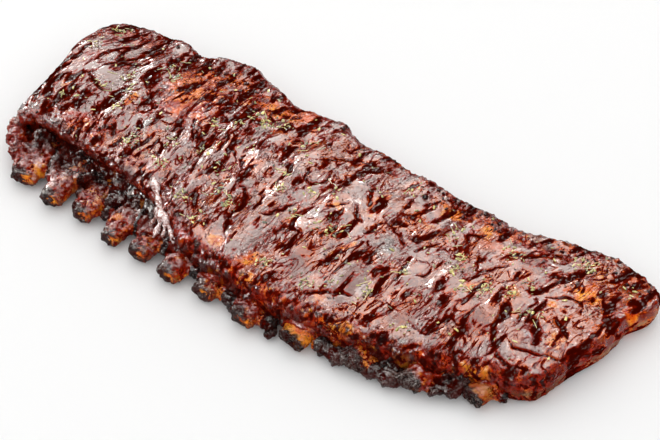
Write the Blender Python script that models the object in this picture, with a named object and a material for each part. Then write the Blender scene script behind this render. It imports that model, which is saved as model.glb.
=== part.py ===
"""Rack of ribs: one slab of glazed meat with twelve rib bones running across it.

The rack lies bone side down. +X runs along the rack, +Y across it towards the
thick meat edge, and the rib ends show along the -Y edge. The box of the whole is
centred over the origin and its underside rests on z = 0. Metres.
"""
import bmesh
import bpy
import numpy as np

MM = 0.001
RACK_NAME = "rack_of_ribs"

# Plan outline of the slab, in millimetres, as four edges that meet at its corners.
NEAR_EDGE = (
    (-206, -43), (-184, -50), (-150, -54), (-118, -59), (-84, -67), (-50, -75),
    (-12, -81), (22, -85), (60, -83), (98, -79), (132, -70), (163, -61), (180, -56), (189, -50),
)
FAR_EDGE = (
    (-218, 56), (-210, 73), (-190, 80), (-158, 82), (-134, 77), (-121, 86), (-104, 87), (-80, 79),
    (-52, 70), (-22, 74), (-8, 66), (28, 61), (68, 56), (112, 52), (134, 54), (154, 61),
    (180, 64), (203, 59), (215, 52),
)
LEFT_EDGE = ((-206, -43), (-213, -29), (-212, -10), (-214, 14), (-219, 36), (-218, 56))
RIGHT_EDGE = ((189, -50), (193, -39), (198, -23), (205, -6), (208, 8), (209, 20), (217, 36), (215, 52))
PLAN_SHIFT = (1.1, 4.3)

# Where each rib crosses the near edge, how far its bare end stands out there, and its
# width there as a share of the usual one.
RIBS = (
    (-174.8, 25, 1.4), (-145.5, 27, 1.2), (-119, 22.5, 1.1), (-90.2, 22, 1.0),
    (-66.5, 17, 1.15), (-40.3, 15.8, 1.1), (-13.2, 11, 1.2), (18.5, 11.5, 1.25),
    (52, 9.5, 1.5), (91, 7, 1.1), (127, 11, 1.15), (161.5, 10.5, 1.15),
)
RIB_HALF_WIDTH = 6.4
RIB_HALF_HEIGHT = 4.4
RIB_AXIS_HEIGHT = 7.2
RIB_ARCH = 1.6
RIB_STATIONS = (0.12, 0.35, 0.6, 0.82, 0.9)
RIB_SHAFT_WAIST = 0.86
RIB_WAIST_LIMIT = 0.7
RIB_END_ROUNDING = 1.4
RIB_END_SCALE = 0.78
RIB_SIDES = 12
GAP = 0.3

# The meat sleeve left on each rib where the meat between the ribs is cut back.
SLEEVE_SIDE = 3.0
SLEEVE_COVER = 2.4
SLEEVE_SETBACK = 1.8
SLEEVE_ROOT = 0.2
SLEEVE_ROUNDING = 2.5
CUTTER_OVERRUN = 12.0

# Height of the top over the table at stations along the rack (rows) and across it.
TOP_HEIGHTS = (
    (23.0, 26.0, 26.5, 22.0),
    (26.0, 28.0, 28.0, 24.0),
    (25.0, 28.5, 28.0, 23.0),
    (23.0, 27.0, 26.0, 22.0),
    (22.0, 26.0, 25.0, 21.0),
    (20.5, 23.0, 20.0, 15.0),
)
TOP_RIB_SWELL = 1.1
UNDER_VALLEY = 2.2
UNDER_CREST_HALF_WIDTH = 4.5

# Side profiles from the top rim down to the underside: how far in from the plan
# outline (mm), and the height as a share of the rim height.
ROUND_SIDE = (
    (7.0, 1.0), (4.0, 0.95), (1.8, 0.85), (0.5, 0.70), (0.0, 0.52),
    (0.4, 0.36), (1.4, 0.20), (3.6, 0.07), (9.0, 0.0),
)
SLOPED_SIDE = (
    (14.0, 1.0), (10.0, 0.95), (6.5, 0.88), (3.8, 0.78), (1.6, 0.63),
    (0.3, 0.44), (0.2, 0.25), (2.0, 0.08), (8.0, 0.0),
)
STEPPED_SIDE = (
    (14.0, 1.0), (11.5, 0.86), (13.0, 0.72), (15.5, 0.58), (12.0, 0.47),
    (4.0, 0.40), (0.0, 0.24), (2.0, 0.08), (8.0, 0.0),
)
CORNER_BLEND = 0.035
LEFT_LEAN = 9.0
STEP_WRAP = 0.25
STEP_START = 0.30
STEP_END = 0.42
ROWS_ACROSS = 13


def smooth_path(points, samples_per_span=16):
    """A curve through the points (Catmull-Rom), as a function of 0..1 of its length."""
    knots = np.array(points, float)
    knots = np.vstack([2 * knots[0] - knots[1], knots, 2 * knots[-1] - knots[-2]])
    t = np.linspace(0.0, 1.0, samples_per_span, endpoint=False)[:, None]
    pieces = []
    for k in range(1, len(knots) - 2):
        a, b, c, d = knots[k - 1:k + 3]
        bend = (2 * a - 5 * b + 4 * c - d) * t ** 2 + (3 * b - a - 3 * c + d) * t ** 3
        pieces.append(b + 0.5 * ((c - a) * t + bend))
    curve = np.vstack(pieces + [knots[-2:-1]])
    length = np.concatenate([[0.0], np.cumsum(np.linalg.norm(np.diff(curve, axis=0), axis=1))])
    length /= length[-1]

    def at(share):
        share = np.asarray(share, float)
        return np.stack([np.interp(share, length, curve[:, i]) for i in range(2)], axis=-1)

    return at


def smoothstep(low, high, value):
    t = np.clip((value - low) / (high - low), 0.0, 1.0)
    return t * t * (3.0 - 2.0 * t)


class Slab:
    """The slab's shape: a patch spanned by its four edges, with a top, sides and underside."""

    def __init__(self):
        shift = np.array(PLAN_SHIFT)
        self.near, self.far, self.left, self.right = [
            smooth_path(np.array(edge) + shift)
            for edge in (NEAR_EDGE, FAR_EDGE, LEFT_EDGE, RIGHT_EDGE)
        ]
        self.length = float(np.ptp([p[0] for p in FAR_EDGE]))
        self.width = float(np.mean([p[1] for p in FAR_EDGE]) - np.mean([p[1] for p in NEAR_EDGE]))
        share = np.linspace(0.0, 1.0, 2001)
        near_x = self.near(share)[:, 0]
        self.rib_shares = [
            float(np.interp(x + PLAN_SHIFT[0], near_x, share)) for x, reach, width in RIBS
        ]

    def plan(self, u, v):
        """Plan position: u runs along the rack, v across it from the near edge; both 0..1."""
        u, v = np.broadcast_arrays(np.asarray(u, float), np.asarray(v, float))
        a, b = u[..., None], v[..., None]
        corners = [self.near(0.0), self.near(1.0), self.far(0.0), self.far(1.0)]
        ruled = (1 - b) * self.near(u) + b * self.far(u) + (1 - a) * self.left(v) + a * self.right(v)
        bilinear = (1 - b) * ((1 - a) * corners[0] + a * corners[1])
        return ruled - bilinear - b * ((1 - a) * corners[2] + a * corners[3])

    def top_height(self, u, v):
        """Height of the top, with a low swell over every rib."""
        table = np.array(TOP_HEIGHTS)
        row = np.asarray(u) * (len(table) - 1)
        along = [np.interp(row, np.arange(len(table)), table[:, j]) for j in range(table.shape[1])]
        column = np.asarray(v) * (table.shape[1] - 1)
        low = np.clip(np.floor(column).astype(int), 0, table.shape[1] - 2)
        along = np.stack(along)
        index = np.indices(along.shape[1:])
        height = along[(low, *index)] * (1 - (column - low)) + along[(low + 1, *index)] * (column - low)
        return height + TOP_RIB_SWELL * self.rib_wave(u)

    def rib_wave(self, u):
        """+1 over a rib and -1 midway between two."""
        phase = np.interp(u, self.rib_shares, np.arange(len(self.rib_shares)))
        return np.cos(2 * np.pi * phase)

    def profile(self, row, u, v):
        """Near inset (mm) and height share of one side row at perimeter places (u, v)."""
        sloped = smoothstep(STEP_START, STEP_END, u)
        cut_inset = (1 - sloped) * STEPPED_SIDE[row][0] + sloped * SLOPED_SIDE[row][0]
        cut_share = (1 - sloped) * STEPPED_SIDE[row][1] + sloped * SLOPED_SIDE[row][1]
        off_corner = smoothstep(1.0, 1.0 - CORNER_BLEND, u)
        near_side = off_corner * smoothstep(STEP_WRAP, 0.0, v)
        inset = off_corner * cut_inset + (1 - off_corner) * ROUND_SIDE[row][0]
        share = near_side * cut_share + (1 - near_side) * ROUND_SIDE[row][1]
        return inset, share

    def inset_plan(self, row, u, v):
        """Plan position of (u, v) on the patch shrunk by one side row's insets."""
        near_inset, share = self.profile(row, u, v)
        round_inset = ROUND_SIDE[row][0]
        lean = LEFT_LEAN * np.clip(2.0 * share - 1.0, 0.0, 1.0) * (1.0 - v) ** 3
        low_v, high_v = near_inset / self.width, 1.0 - round_inset / self.width
        low_u, high_u = (round_inset + lean) / self.length, 1.0 - round_inset / self.length
        return self.plan(low_u + (high_u - low_u) * u, low_v + (high_v - low_v) * v)

    def side_row(self, row, u, v):
        """Points of one side row at perimeter places (u, v)."""
        height_share = self.profile(row, u, v)[1]
        return np.column_stack([self.inset_plan(row, u, v), height_share * self.top_height(u, v)])

    def top(self, u, v):
        return np.column_stack([self.inset_plan(0, u, v), self.top_height(u, v)])

    def underside(self, u, v):
        """The underside: flat along every rib and hollowed between the ribs."""
        rim = 4.0 * np.minimum(v, 1.0 - v)
        hollow = np.clip(0.5 - 0.5 * self.rib_wave(u), 0.0, 1.0) ** 1.5
        crest = np.min([np.abs(u - share) for share in self.rib_shares], axis=0) * self.length
        hollow = np.where(crest < UNDER_CREST_HALF_WIDTH + 0.01, 0.0, hollow)
        height = UNDER_VALLEY * hollow * np.clip(rim, 0.0, 1.0)
        return np.column_stack([self.inset_plan(len(ROUND_SIDE) - 1, u, v), height])


def perimeter_places(columns, rows):
    """(u, v) round the patch, anticlockwise from the near left corner."""
    near = [(u, 0.0) for u in columns[:-1]]
    right = [(1.0, v) for v in rows[:-1]]
    far = [(u, 1.0) for u in columns[:0:-1]]
    left = [(0.0, v) for v in rows[:0:-1]]
    return np.array(near + right + far + left)


def rib_columns(slab):
    """Shares along the rack: both sides of every rib's flat, and midway between ribs."""
    half = UNDER_CREST_HALF_WIDTH / slab.length
    shares = slab.rib_shares
    columns = [0.0, 0.5 * (shares[0] - half)]
    for k, share in enumerate(shares):
        columns += [share - half, share + half]
        if k + 1 < len(shares):
            columns.append(0.5 * (share + shares[k + 1]))
    last = shares[-1] + half
    return np.array(columns + [last + (1.0 - last) * s for s in (0.3, 0.6, 0.85, 1.0)])


def mesh_object(name, mesh, collection, material=None):
    obj = bpy.data.objects.new(name, mesh)
    collection.objects.link(obj)
    if material:
        mesh.materials.append(material)
    return obj


def build_slab(slab, collection, material):
    """The closed slab: top grid, side rows and underside grid lofted into one skin."""
    columns = rib_columns(slab)
    rows = np.linspace(0.0, 1.0, ROWS_ACROSS + 1)
    grid_u, grid_v = [g.ravel() for g in np.meshgrid(columns, rows)]
    ring = perimeter_places(columns, rows)
    bm = bmesh.new()

    def add(points):
        return [bm.verts.new(p * MM) for p in points]

    top = np.array(add(slab.top(grid_u, grid_v)), dtype=object).reshape(len(rows), len(columns))
    under = np.array(add(slab.underside(grid_u, grid_v)), dtype=object).reshape(top.shape)

    def grid_ring(grid):
        sides = [grid[0, :-1], grid[:-1, -1], grid[-1, :0:-1], grid[:0:-1, 0]]
        return [vert for side in sides for vert in side]

    for j in range(len(rows) - 1):
        for i in range(len(columns) - 1):
            bm.faces.new((top[j, i], top[j, i + 1], top[j + 1, i + 1], top[j + 1, i]))
            bm.faces.new((under[j, i], under[j + 1, i], under[j + 1, i + 1], under[j, i + 1]))
    rings = [grid_ring(top)]
    rings += [add(slab.side_row(k, ring[:, 0], ring[:, 1])) for k in range(1, len(ROUND_SIDE) - 1)]
    rings.append(grid_ring(under))
    for upper, lower in zip(rings, rings[1:]):
        for i in range(len(upper)):
            j = (i + 1) % len(upper)
            bm.faces.new((upper[i], lower[i], lower[j], upper[j]))
    bmesh.ops.triangulate(bm, faces=bm.faces[:])
    mesh = bpy.data.meshes.new("meat")
    bm.to_mesh(mesh)
    bm.free()
    return mesh_object("meat", mesh, collection, material)


def rib_path(slab, number, reach, width, shares):
    """Points (mm) along a rib's axis, from its bare end inwards, and its scale at each."""
    u = slab.rib_shares[number]
    places = slab.plan(u, np.array(shares))
    outward = places[0] - slab.plan(u, 0.3)
    outward /= np.linalg.norm(outward)
    waist = 1.0 - RIB_SHAFT_WAIST / np.sqrt(width)
    arch = np.sin(np.pi * np.array(shares))
    plan_points = [slab.plan(u, 0.0) + outward * reach, *places]
    heights = [RIB_AXIS_HEIGHT, *(RIB_AXIS_HEIGHT + RIB_ARCH * arch)]
    scales = [1.0, *(1.0 - waist * arch)]
    return [np.array((*point, height)) for point, height in zip(plan_points, heights)], scales


def extended(start, end, overrun):
    """The end point moved on by the overrun, along the line from start to end."""
    return end + (end - start) / np.linalg.norm(end - start) * overrun


def end_rounded(path, scales, rounding):
    """The path with a short taper added at both ends."""
    inner = [extended(path[1], path[0], -rounding), *path[1:-1], extended(path[-2], path[-1], -rounding)]
    taper = [scales[0] * RIB_END_SCALE, *scales, scales[-1] * RIB_END_SCALE]
    return [path[0], *inner, path[-1]], taper


def oval_outline(name, half_width, half_height, collection):
    """A closed oval outline that a tube is swept with."""
    curve = bpy.data.curves.new(name, "CURVE")
    spline = curve.splines.new("POLY")
    spline.points.add(RIB_SIDES - 1)
    for k, point in enumerate(spline.points):
        angle = 2 * np.pi * (k + 0.5) / RIB_SIDES
        point.co = (half_width * MM * np.cos(angle), half_height * MM * np.sin(angle), 0, 1)
    spline.use_cyclic_u = True
    oval = bpy.data.objects.new(name, curve)
    collection.objects.link(oval)
    return oval


def swept_tube(name, path, scales, half_width, half_height, collection, material=None):
    """An oval tube with filled caps along the path, turned into a closed mesh."""
    oval = oval_outline(name + "_outline", half_width, half_height, collection)
    curve = bpy.data.curves.new(name + "_path", "CURVE")
    curve.dimensions = "3D"
    curve.twist_mode = "Z_UP"
    curve.bevel_mode = "OBJECT"
    curve.bevel_object = oval
    curve.use_fill_caps = True
    spline = curve.splines.new("POLY")
    spline.points.add(len(path) - 1)
    for point, place, scale in zip(spline.points, path, scales):
        point.co = (*(place * MM), 1)
        point.radius = scale
    sweep = bpy.data.objects.new(name + "_path", curve)
    collection.objects.link(sweep)
    bpy.context.view_layer.update()
    evaluated = sweep.evaluated_get(bpy.context.evaluated_depsgraph_get())
    mesh = bpy.data.meshes.new_from_object(evaluated)
    mesh.name = name
    mesh.materials.clear()
    bm = bmesh.new()
    bm.from_mesh(mesh)
    bmesh.ops.remove_doubles(bm, verts=bm.verts[:], dist=1e-6)
    bmesh.ops.recalc_face_normals(bm, faces=bm.faces[:])
    bm.to_mesh(mesh)
    bm.free()
    tube = mesh_object(name, mesh, collection, material)
    tube.matrix_world = sweep.matrix_world
    bpy.data.objects.remove(sweep)
    bpy.data.objects.remove(oval)
    return tube


def boolean(target, cutter, operation):
    modifier = target.modifiers.new(f"{operation.lower()}_{cutter.name}", "BOOLEAN")
    modifier.operation = operation
    modifier.object = cutter
    modifier.solver = "EXACT"


def make_guide(obj):
    obj.hide_render = True
    obj.display_type = "WIRE"


def new_collection(name):
    collection = bpy.data.collections.new(name)
    bpy.context.scene.collection.children.link(collection)
    return collection


def principled(name, color, roughness, coat=0.0):
    material = bpy.data.materials.new(name)
    material.use_nodes = True
    shader = material.node_tree.nodes["Principled BSDF"]
    shader.inputs["Base Color"].default_value = (*color, 1.0)
    shader.inputs["Roughness"].default_value = roughness
    shader.inputs["Metallic"].default_value = 0.0
    shader.inputs["Coat Weight"].default_value = coat
    return material


def main():
    for obj in list(bpy.data.objects):
        bpy.data.objects.remove(obj)
    parts = new_collection(RACK_NAME)
    guides = new_collection(RACK_NAME + "_cutters")
    glazed = principled("glazed_meat", (0.16, 0.022, 0.010), 0.22, coat=0.6)
    bone = principled("rib_bone", (0.42, 0.17, 0.055), 0.45)

    slab = Slab()
    meat = build_slab(slab, parts, glazed)
    sleeves = []
    bores = []
    for number, (x, reach, width) in enumerate(RIBS):
        label = f"{number + 1:02d}"
        half_width = RIB_HALF_WIDTH * width
        path, scales = rib_path(slab, number, reach, width, RIB_STATIONS)
        rounded, tapered = end_rounded(path, scales, RIB_END_ROUNDING)
        swept_tube("rib_bone_" + label, rounded, tapered, half_width, RIB_HALF_HEIGHT, parts, bone)

        outer_end = extended(path[1], path[0], CUTTER_OVERRUN)
        inner_end = extended(path[-2], path[-1], GAP)
        bore_path = [outer_end, *path[1:-1], inner_end]
        bore_size = (half_width + GAP / RIB_WAIST_LIMIT, RIB_HALF_HEIGHT + GAP / RIB_WAIST_LIMIT)
        bores.append(swept_tube("bore_" + label, bore_path, scales, *bore_size, guides))

        path, scales = rib_path(slab, number, reach - SLEEVE_SETBACK, width, (SLEEVE_ROOT,))
        rounded, tapered = end_rounded(path, scales, SLEEVE_ROUNDING)
        sleeve_size = (half_width + SLEEVE_SIDE, RIB_HALF_HEIGHT + SLEEVE_COVER)
        sleeves.append(swept_tube("sleeve_" + label, rounded, tapered, *sleeve_size, guides))
    for sleeve in sleeves:
        boolean(meat, sleeve, "UNION")
        make_guide(sleeve)
    for bore in bores:
        boolean(meat, bore, "DIFFERENCE")
        make_guide(bore)


main()
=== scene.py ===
"""Looks for the rack of ribs: glazed meat, bare rib ends, char, a strand of sauce and chopped herbs."""

import bpy
import numpy as np
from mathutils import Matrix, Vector
from mathutils.bvhtree import BVHTree


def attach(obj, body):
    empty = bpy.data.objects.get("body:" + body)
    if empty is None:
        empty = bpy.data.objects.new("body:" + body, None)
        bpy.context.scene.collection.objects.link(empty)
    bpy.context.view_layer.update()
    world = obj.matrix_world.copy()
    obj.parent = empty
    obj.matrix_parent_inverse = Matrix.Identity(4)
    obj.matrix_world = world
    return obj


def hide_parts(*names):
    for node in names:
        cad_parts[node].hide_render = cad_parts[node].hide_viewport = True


bl_info = {
    "name": "Rack of Ribs",
    "version": (1, 0, 0),
    "blender": (4, 5, 0),
    "location": "3D View > Sidebar > Ribs",
    "description": "Builds the glazed meat, rib bones, char, herbs and studio of a rack of ribs",
    "category": "Object",
}

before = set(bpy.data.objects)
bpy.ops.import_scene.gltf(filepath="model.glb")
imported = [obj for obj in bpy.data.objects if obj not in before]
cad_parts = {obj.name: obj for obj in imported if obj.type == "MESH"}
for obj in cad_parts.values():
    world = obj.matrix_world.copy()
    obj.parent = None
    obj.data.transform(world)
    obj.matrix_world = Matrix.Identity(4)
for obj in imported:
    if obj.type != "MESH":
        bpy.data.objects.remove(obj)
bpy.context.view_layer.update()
RIB_NODES = sorted(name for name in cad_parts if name.startswith("rib_bone"))
MM = 0.001

# Plan outline of the slab, in millimetres, as four edges that meet at its corners.
NEAR_EDGE = (
    (-206, -43), (-184, -50), (-150, -54), (-118, -59), (-84, -67), (-50, -75), (-12, -81), (22, -85),
    (60, -83), (98, -79), (132, -70), (163, -61), (180, -56), (189, -50),
)
FAR_EDGE = (
    (-218, 56), (-210, 73), (-190, 80), (-158, 82), (-134, 77), (-121, 86), (-104, 87), (-80, 79), (-52, 70),
    (-22, 74), (-8, 66), (28, 61), (68, 56), (112, 52), (134, 54), (154, 61), (180, 64), (203, 59), (215, 52),
)
LEFT_EDGE = ((-206, -43), (-213, -29), (-212, -10), (-214, 14), (-219, 36), (-218, 56))
RIGHT_EDGE = ((189, -50), (193, -39), (198, -23), (205, -6), (208, 8), (209, 20), (217, 36), (215, 52))
PLAN_SHIFT = (1.1, 4.3)

# Where each rib crosses the near edge, how far its bare end stands out there, and its
# width there as a share of the usual one.
RIBS = (
    (-174.8, 25, 1.4), (-145.5, 27, 1.2), (-119, 22.5, 1.1), (-90.2, 22, 1.0), (-66.5, 17, 1.15),
    (-40.3, 15.8, 1.1), (-13.2, 11, 1.2), (18.5, 11.5, 1.25), (52, 9.5, 1.5), (91, 7, 1.1), (127, 11, 1.15),
    (161.5, 10.5, 1.15),
)
RIB_HALF_WIDTH = 6.4
RIB_HALF_HEIGHT = 4.4
RIB_AXIS_HEIGHT = 7.2
# Where a rib and the meat round it begin inside the slab, as shares of the way to the far edge.
BONE_START = 0.88
SLEEVE_START = 0.16
# How much wider and taller than a rib the meat round it is (mm).
SLEEVE_COVER = 1.6
SLEEVE_ROOF = 2.0

# The ribs on the left with a warm core in their cut ends.
LEFT_RIBS = 8
# Length of bare bone at each rib's end, and how tan rather than amber it is.
BARE_LENGTH = (-0.3, -0.2, 0.2, 0.3, 0.0, 0.0, -0.2, 0.3, 7.0, 0.0, 0.2, 8.0)
BONE_TAN = (0.2, 0.2, 0.2, 0.2, 0.2, 0.2, 0.2, 0.3, 0.15, 0.3, 0.3, 0.7)
# Rings that close a bone's cut end: share of the full size, and how far out of the end (mm).
END_RINGS = ((0.96, 0.4), (0.89, 0.6), (0.78, 0.7), (0.64, 0.6), (0.48, 0.4), (0.30, 0.1), (0.12, 0.0))

# Lumps of glazed meat by the rib ends: x, y, z, half sizes along X, Y and Z (mm).
END_LUMPS = (
    (-201, -40, 12, 7, 6, 7), (-194, -47, 10, 8, 7, 8), (-185, -55, 9, 8, 7, 7), (-176, -61, 10, 7, 6, 5),
    (-196, -35, 19, 7, 6, 5), (-176, -42, 18, 6, 5, 5), (-160, -50, 9, 5, 6, 4), (-150, -60, 11, 5, 6, 3),
    (-133, -54, 7, 4, 7, 4), (-121, -64, 11, 5, 5, 3), (-92, -72, 11, 4, 5, 3), (-104, -60, 7, 4, 6, 4),
    (-78, -65, 7, 3, 6, 4), (-66, -74, 11, 5, 4, 3), (-52, -70, 7, 4, 6, 4), (-41, -80, 11, 4, 4, 3),
    (-27, -75, 6, 4, 5, 4), (-14, -82, 11, 6, 4, 3), (2, -79, 7, 5, 5, 4), (20, -84, 11, 6, 4, 3),
    (33, -85, 7, 6, 5, 5), (38, -88, 4, 4, 4, 3), (70, -81, 6, 8, 6, 5), (79, -83, 6, 9, 5, 5),
    (91, -82, 8, 9, 5, 5), (101, -81, 6, 9, 5, 5), (113, -80, 6, 9, 5, 5), (125, -77, 8, 9, 5, 5),
    (137, -73, 6, 8, 5, 4), (148, -68, 6, 6, 5, 4), (171, -56, 6, 6, 4, 4),
)

# Browned fat on the cut-back edge: x, y, half length, half width (mm), angle, strength.
SIDE_AMBER = (
    (65, -77, 7, 5, 0, 1.0), (-120, -60, 6, 5, 0, 0.8), (-92, -70, 5, 4, 0, 0.9), (-66, -72, 5, 4, 0, 0.7),
    (100, -78, 6, 4, 0, 0.6), (118, -77, 6, 5, 0, 0.8),
)

# Height of the top over the table at stations along the rack (rows) and across it.
TOP_HEIGHTS = (
    (23.0, 26.0, 26.5, 22.0), (26.0, 28.0, 28.0, 24.0), (25.0, 28.5, 28.0, 23.0), (23.0, 27.0, 26.0, 22.0),
    (22.0, 26.0, 25.0, 21.0), (20.5, 23.0, 20.0, 15.0),
)
# Usual height of the rim, swell of the top over a rib, depth of the hollows under the meat (mm).
RIM_HEIGHT = 26
TOP_RIB_SWELL = 1.1
UNDER_VALLEY = 2.2

# Side profiles from the top rim down to the underside: how far in from the plan
# outline (mm), and the height as a share of the rim height.
ROUND_SIDE = (
    (7.0, 1.0), (4.0, 0.95), (1.8, 0.85), (0.5, 0.70), (0.0, 0.52), (0.4, 0.36), (1.4, 0.20), (3.6, 0.07),
    (9.0, 0.0),
)
SLOPED_SIDE = (
    (14.0, 1.0), (9.5, 0.985), (5.6, 0.945), (2.8, 0.85), (1.0, 0.68), (0.1, 0.46), (0.2, 0.25), (2.0, 0.08),
    (8.0, 0.0),
)
STEPPED_SIDE = (
    (14.0, 1.0), (11.5, 0.86), (13.0, 0.72), (15.5, 0.58), (12.0, 0.47), (4.0, 0.40), (0.0, 0.24), (2.0, 0.08),
    (8.0, 0.0),
)
# Share of the length over which the near side's profile rounds off at the right corner.
CORNER_BLEND = 0.035
# How far the rim at the near left corner leans in (mm).
LEFT_LEAN = 9.0
# Where the stepped side turns into the sloped one, as shares of the length, and how far it wraps
# round the left end, as a share of the width.
STEP_START = 0.30
STEP_END = 0.42
STEP_WRAP = 0.25

# Mesh counts of the slab. Columns and rows less one are multiples of UNDER_STEP.
COLUMNS = 421
ROWS = 137
SIDE_ROWS = 25
UNDER_STEP = 4

# Rings and sides of the tubes that the other pieces start from.
SLEEVE_RINGS, SLEEVE_SIDES = 30, 24
BONE_RINGS, BONE_SIDES = 70, 36
STALK_RINGS, STALK_SIDES = 6, 5
STRAND_SIDES = 14
BONE_SQUARENESS = 0.9
# Mesh size (mm) of the two pieces that are skinned over, and how often the skin is smoothed.
SLEEVE_PITCH = 0.85
SAUCE_PITCH = 0.4
SKIN_SMOOTHING = 3

# Scattered pieces: counts and seeds; shares of a flake's length; thickness and lift (mm).
BALLS_PER_GAP = 12
STRAY_FLAKES = 260
STALKS = 90
SLEEVE_SEED, HERB_SEED, CRUMB_SEED = 23, 7, 31
FLAKE_REACH = 0.62
FLAKE_WIDTHS = (0.14, 0.36)
FLAKE_THICKNESS = 0.10
FLAKE_LIFT = 0.22
STALK_RADIUS = 0.16
STALK_LIFT = 0.35

# Masks on the mesh that the glazed material reads.
# steep is painted shade: it darkens the glaze on slopes by their tilt.
MASKS = ("crease", "amber", "char", "ash", "stringy", "side", "bare", "steep", "tone", "calm")
SPECK_AMOUNT = 0.8
COAT_ROUGHNESS = 0.06
# Heights of the fine bumps (m).
GLAZE_BUMP = 0.0009
SAUCE_BUMP = 0.0006
HERB_BUMP = 0.0002
STALK_TIP_COLOUR = (0.75, 0.66, 0.34)

# Which way the glaze runs, in degrees from +X, at stations along (rows) and across the rack.
RUN_X = (-215, -180, -140, -95, -40, 20, 80, 130, 180, 215)
RUN_Y = (-50, 0, 50)
RUN_ANGLES = (
    (110, 80, 52), (115, 82, 52), (120, 100, 100), (105, 122, 105), (100, 95, 85), (70, 75, 70), (60, 65, 80),
    (100, 85, 60), (100, 90, 75), (80, 75, 75),
)

# Over the plan, at RUN_Y across: how much is valleys between the plates of set glaze, and how
# wide the plates are.
PLATE_X = (-215, -150, -100, -40, 20, 215)
PLATE_LEVEL = (
    (-0.05, -0.15, -0.15), (-0.02, -0.16, -0.18), (-0.05, -0.12, -0.08), (-0.24, -0.22, -0.14),
    (-0.31, -0.36, -0.28), (-0.18, -0.30, -0.16),
)
PLATE_WIDTH = (
    (0.2, 0.8, 1.0), (0.0, 0.7, 1.0), (0.0, 0.3, 0.5), (0.5, 0.6, 0.4), (0.9, 1.0, 0.8), (1.0, 1.0, 0.8),
)

# Deep runs of dark glaze: width (mm), then the points they pass through (mm).
GLAZE_RUNS = (
    (2.4, (-163, 74), (-165, 62), (-169, 50), (-178, 34), (-184, 24)), (1.6, (-187, 46.5), (-180, 45)),
    (2.4, (-186, 18), (-178, 12), (-168, 9), (-161, 13)), (1.6, (-152, 64), (-147, 56), (-142, 47)),
    (1.5, (-145, 62), (-140, 54), (-137, 46)), (3.2, (-129, 76), (-124, 67), (-121, 57)),
    (2.4, (-99, 20), (-93, 10), (-86, 1)), (2.0, (-106, 14), (-99, 4), (-94, -7)), (1.6, (-91, 13), (-84, 2)),
    (1.6, (-150, 0), (-156, -5), (-164, -6)), (3.4, (-127, -3), (-121, -10)),
    (2.2, (-69, 17), (-67, 8), (-66, -4)), (1.8, (-60, 10), (-54, 3), (-49, -3)),
    (2.6, (-51, 10), (-49, 2), (-43, -6)), (1.6, (-28, 31), (-28.5, 22), (-27, 11)),
    (3.0, (-36, -17), (-30, -19), (-25, -28), (-27, -38), (-24, -48), (-20, -54)),
    (2.2, (-19, -16), (-16, -22), (-18, -30)), (1.8, (-14, 28), (-7, 35), (0, 43), (9, 48), (22, 49), (32, 48)),
    (2.0, (2, 30), (4, 22), (3, 15), (-2, 10), (-7, 12), (-9, 19), (-8, 28)),
    (1.7, (-12, -32), (-5, -25), (0, -14), (1, -8)), (2.8, (7, -24), (12, -28), (19, -30)),
    (3.2, (33, 26), (37, 19), (38, 15)), (2.2, (31, 12), (36, 5), (43, -1)),
    (1.8, (16, -2), (21, 0), (26, 6), (27, 11)), (1.6, (40, -44), (43, -34), (50, -24), (55, -16)),
    (2.2, (55, -12), (59, -18)), (2.0, (58, 40), (58, 30), (60, 21), (66, 24), (70, 33), (71, 46)),
    (2.6, (51, 3), (53, -3), (49, -8)), (1.6, (58, 8), (66, 3), (76, -2)),
    (2.0, (40, -70), (50, -63), (60, -57), (72, -50)), (2.2, (92, 10), (86, 4), (81, -3)),
    (3.6, (82, -8), (84, -18), (86, -30)), (1.7, (97, -9), (99, -17), (94, -22)),
    (2.0, (108, 20), (101, 27), (112, 32)), (1.8, (113, 20), (117, 12), (119, 4)),
    (1.8, (136, 20), (129, 12), (117, 2)), (3.4, (147, -9), (149, -20), (151, -30), (156, -40)),
    (1.4, (127, -36), (132, -38), (137, -37)), (2.0, (137, -48), (141, -56), (147, -62)),
    (1.6, (108, -50), (118, -53), (126, -46), (126, -38)), (1.8, (160, 8), (160, -6), (159, -20)),
    (5.0, (166, -10), (172, -18), (176, -26)), (3.4, (176, -4), (184, -8), (190, -14)),
    (2.0, (163, 8), (172, 14), (182, 17), (186, 8)), (1.6, (157, -30), (168, -34), (182, -31), (194, -28)),
    (3.0, (160, -42), (168, -46), (180, -44)), (4.2, (201, 18), (201, 4), (199, -12), (196, -26)),
    (1.7, (171, 44), (173, 36), (174, 24), (171, 20)), (2.6, (138, 30), (148, 42), (160, 50)),
    (2.2, (-205, 44), (-206, 30)), (4.0, (-204, 20), (-205, 6), (-204, -8)),
)
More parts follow.
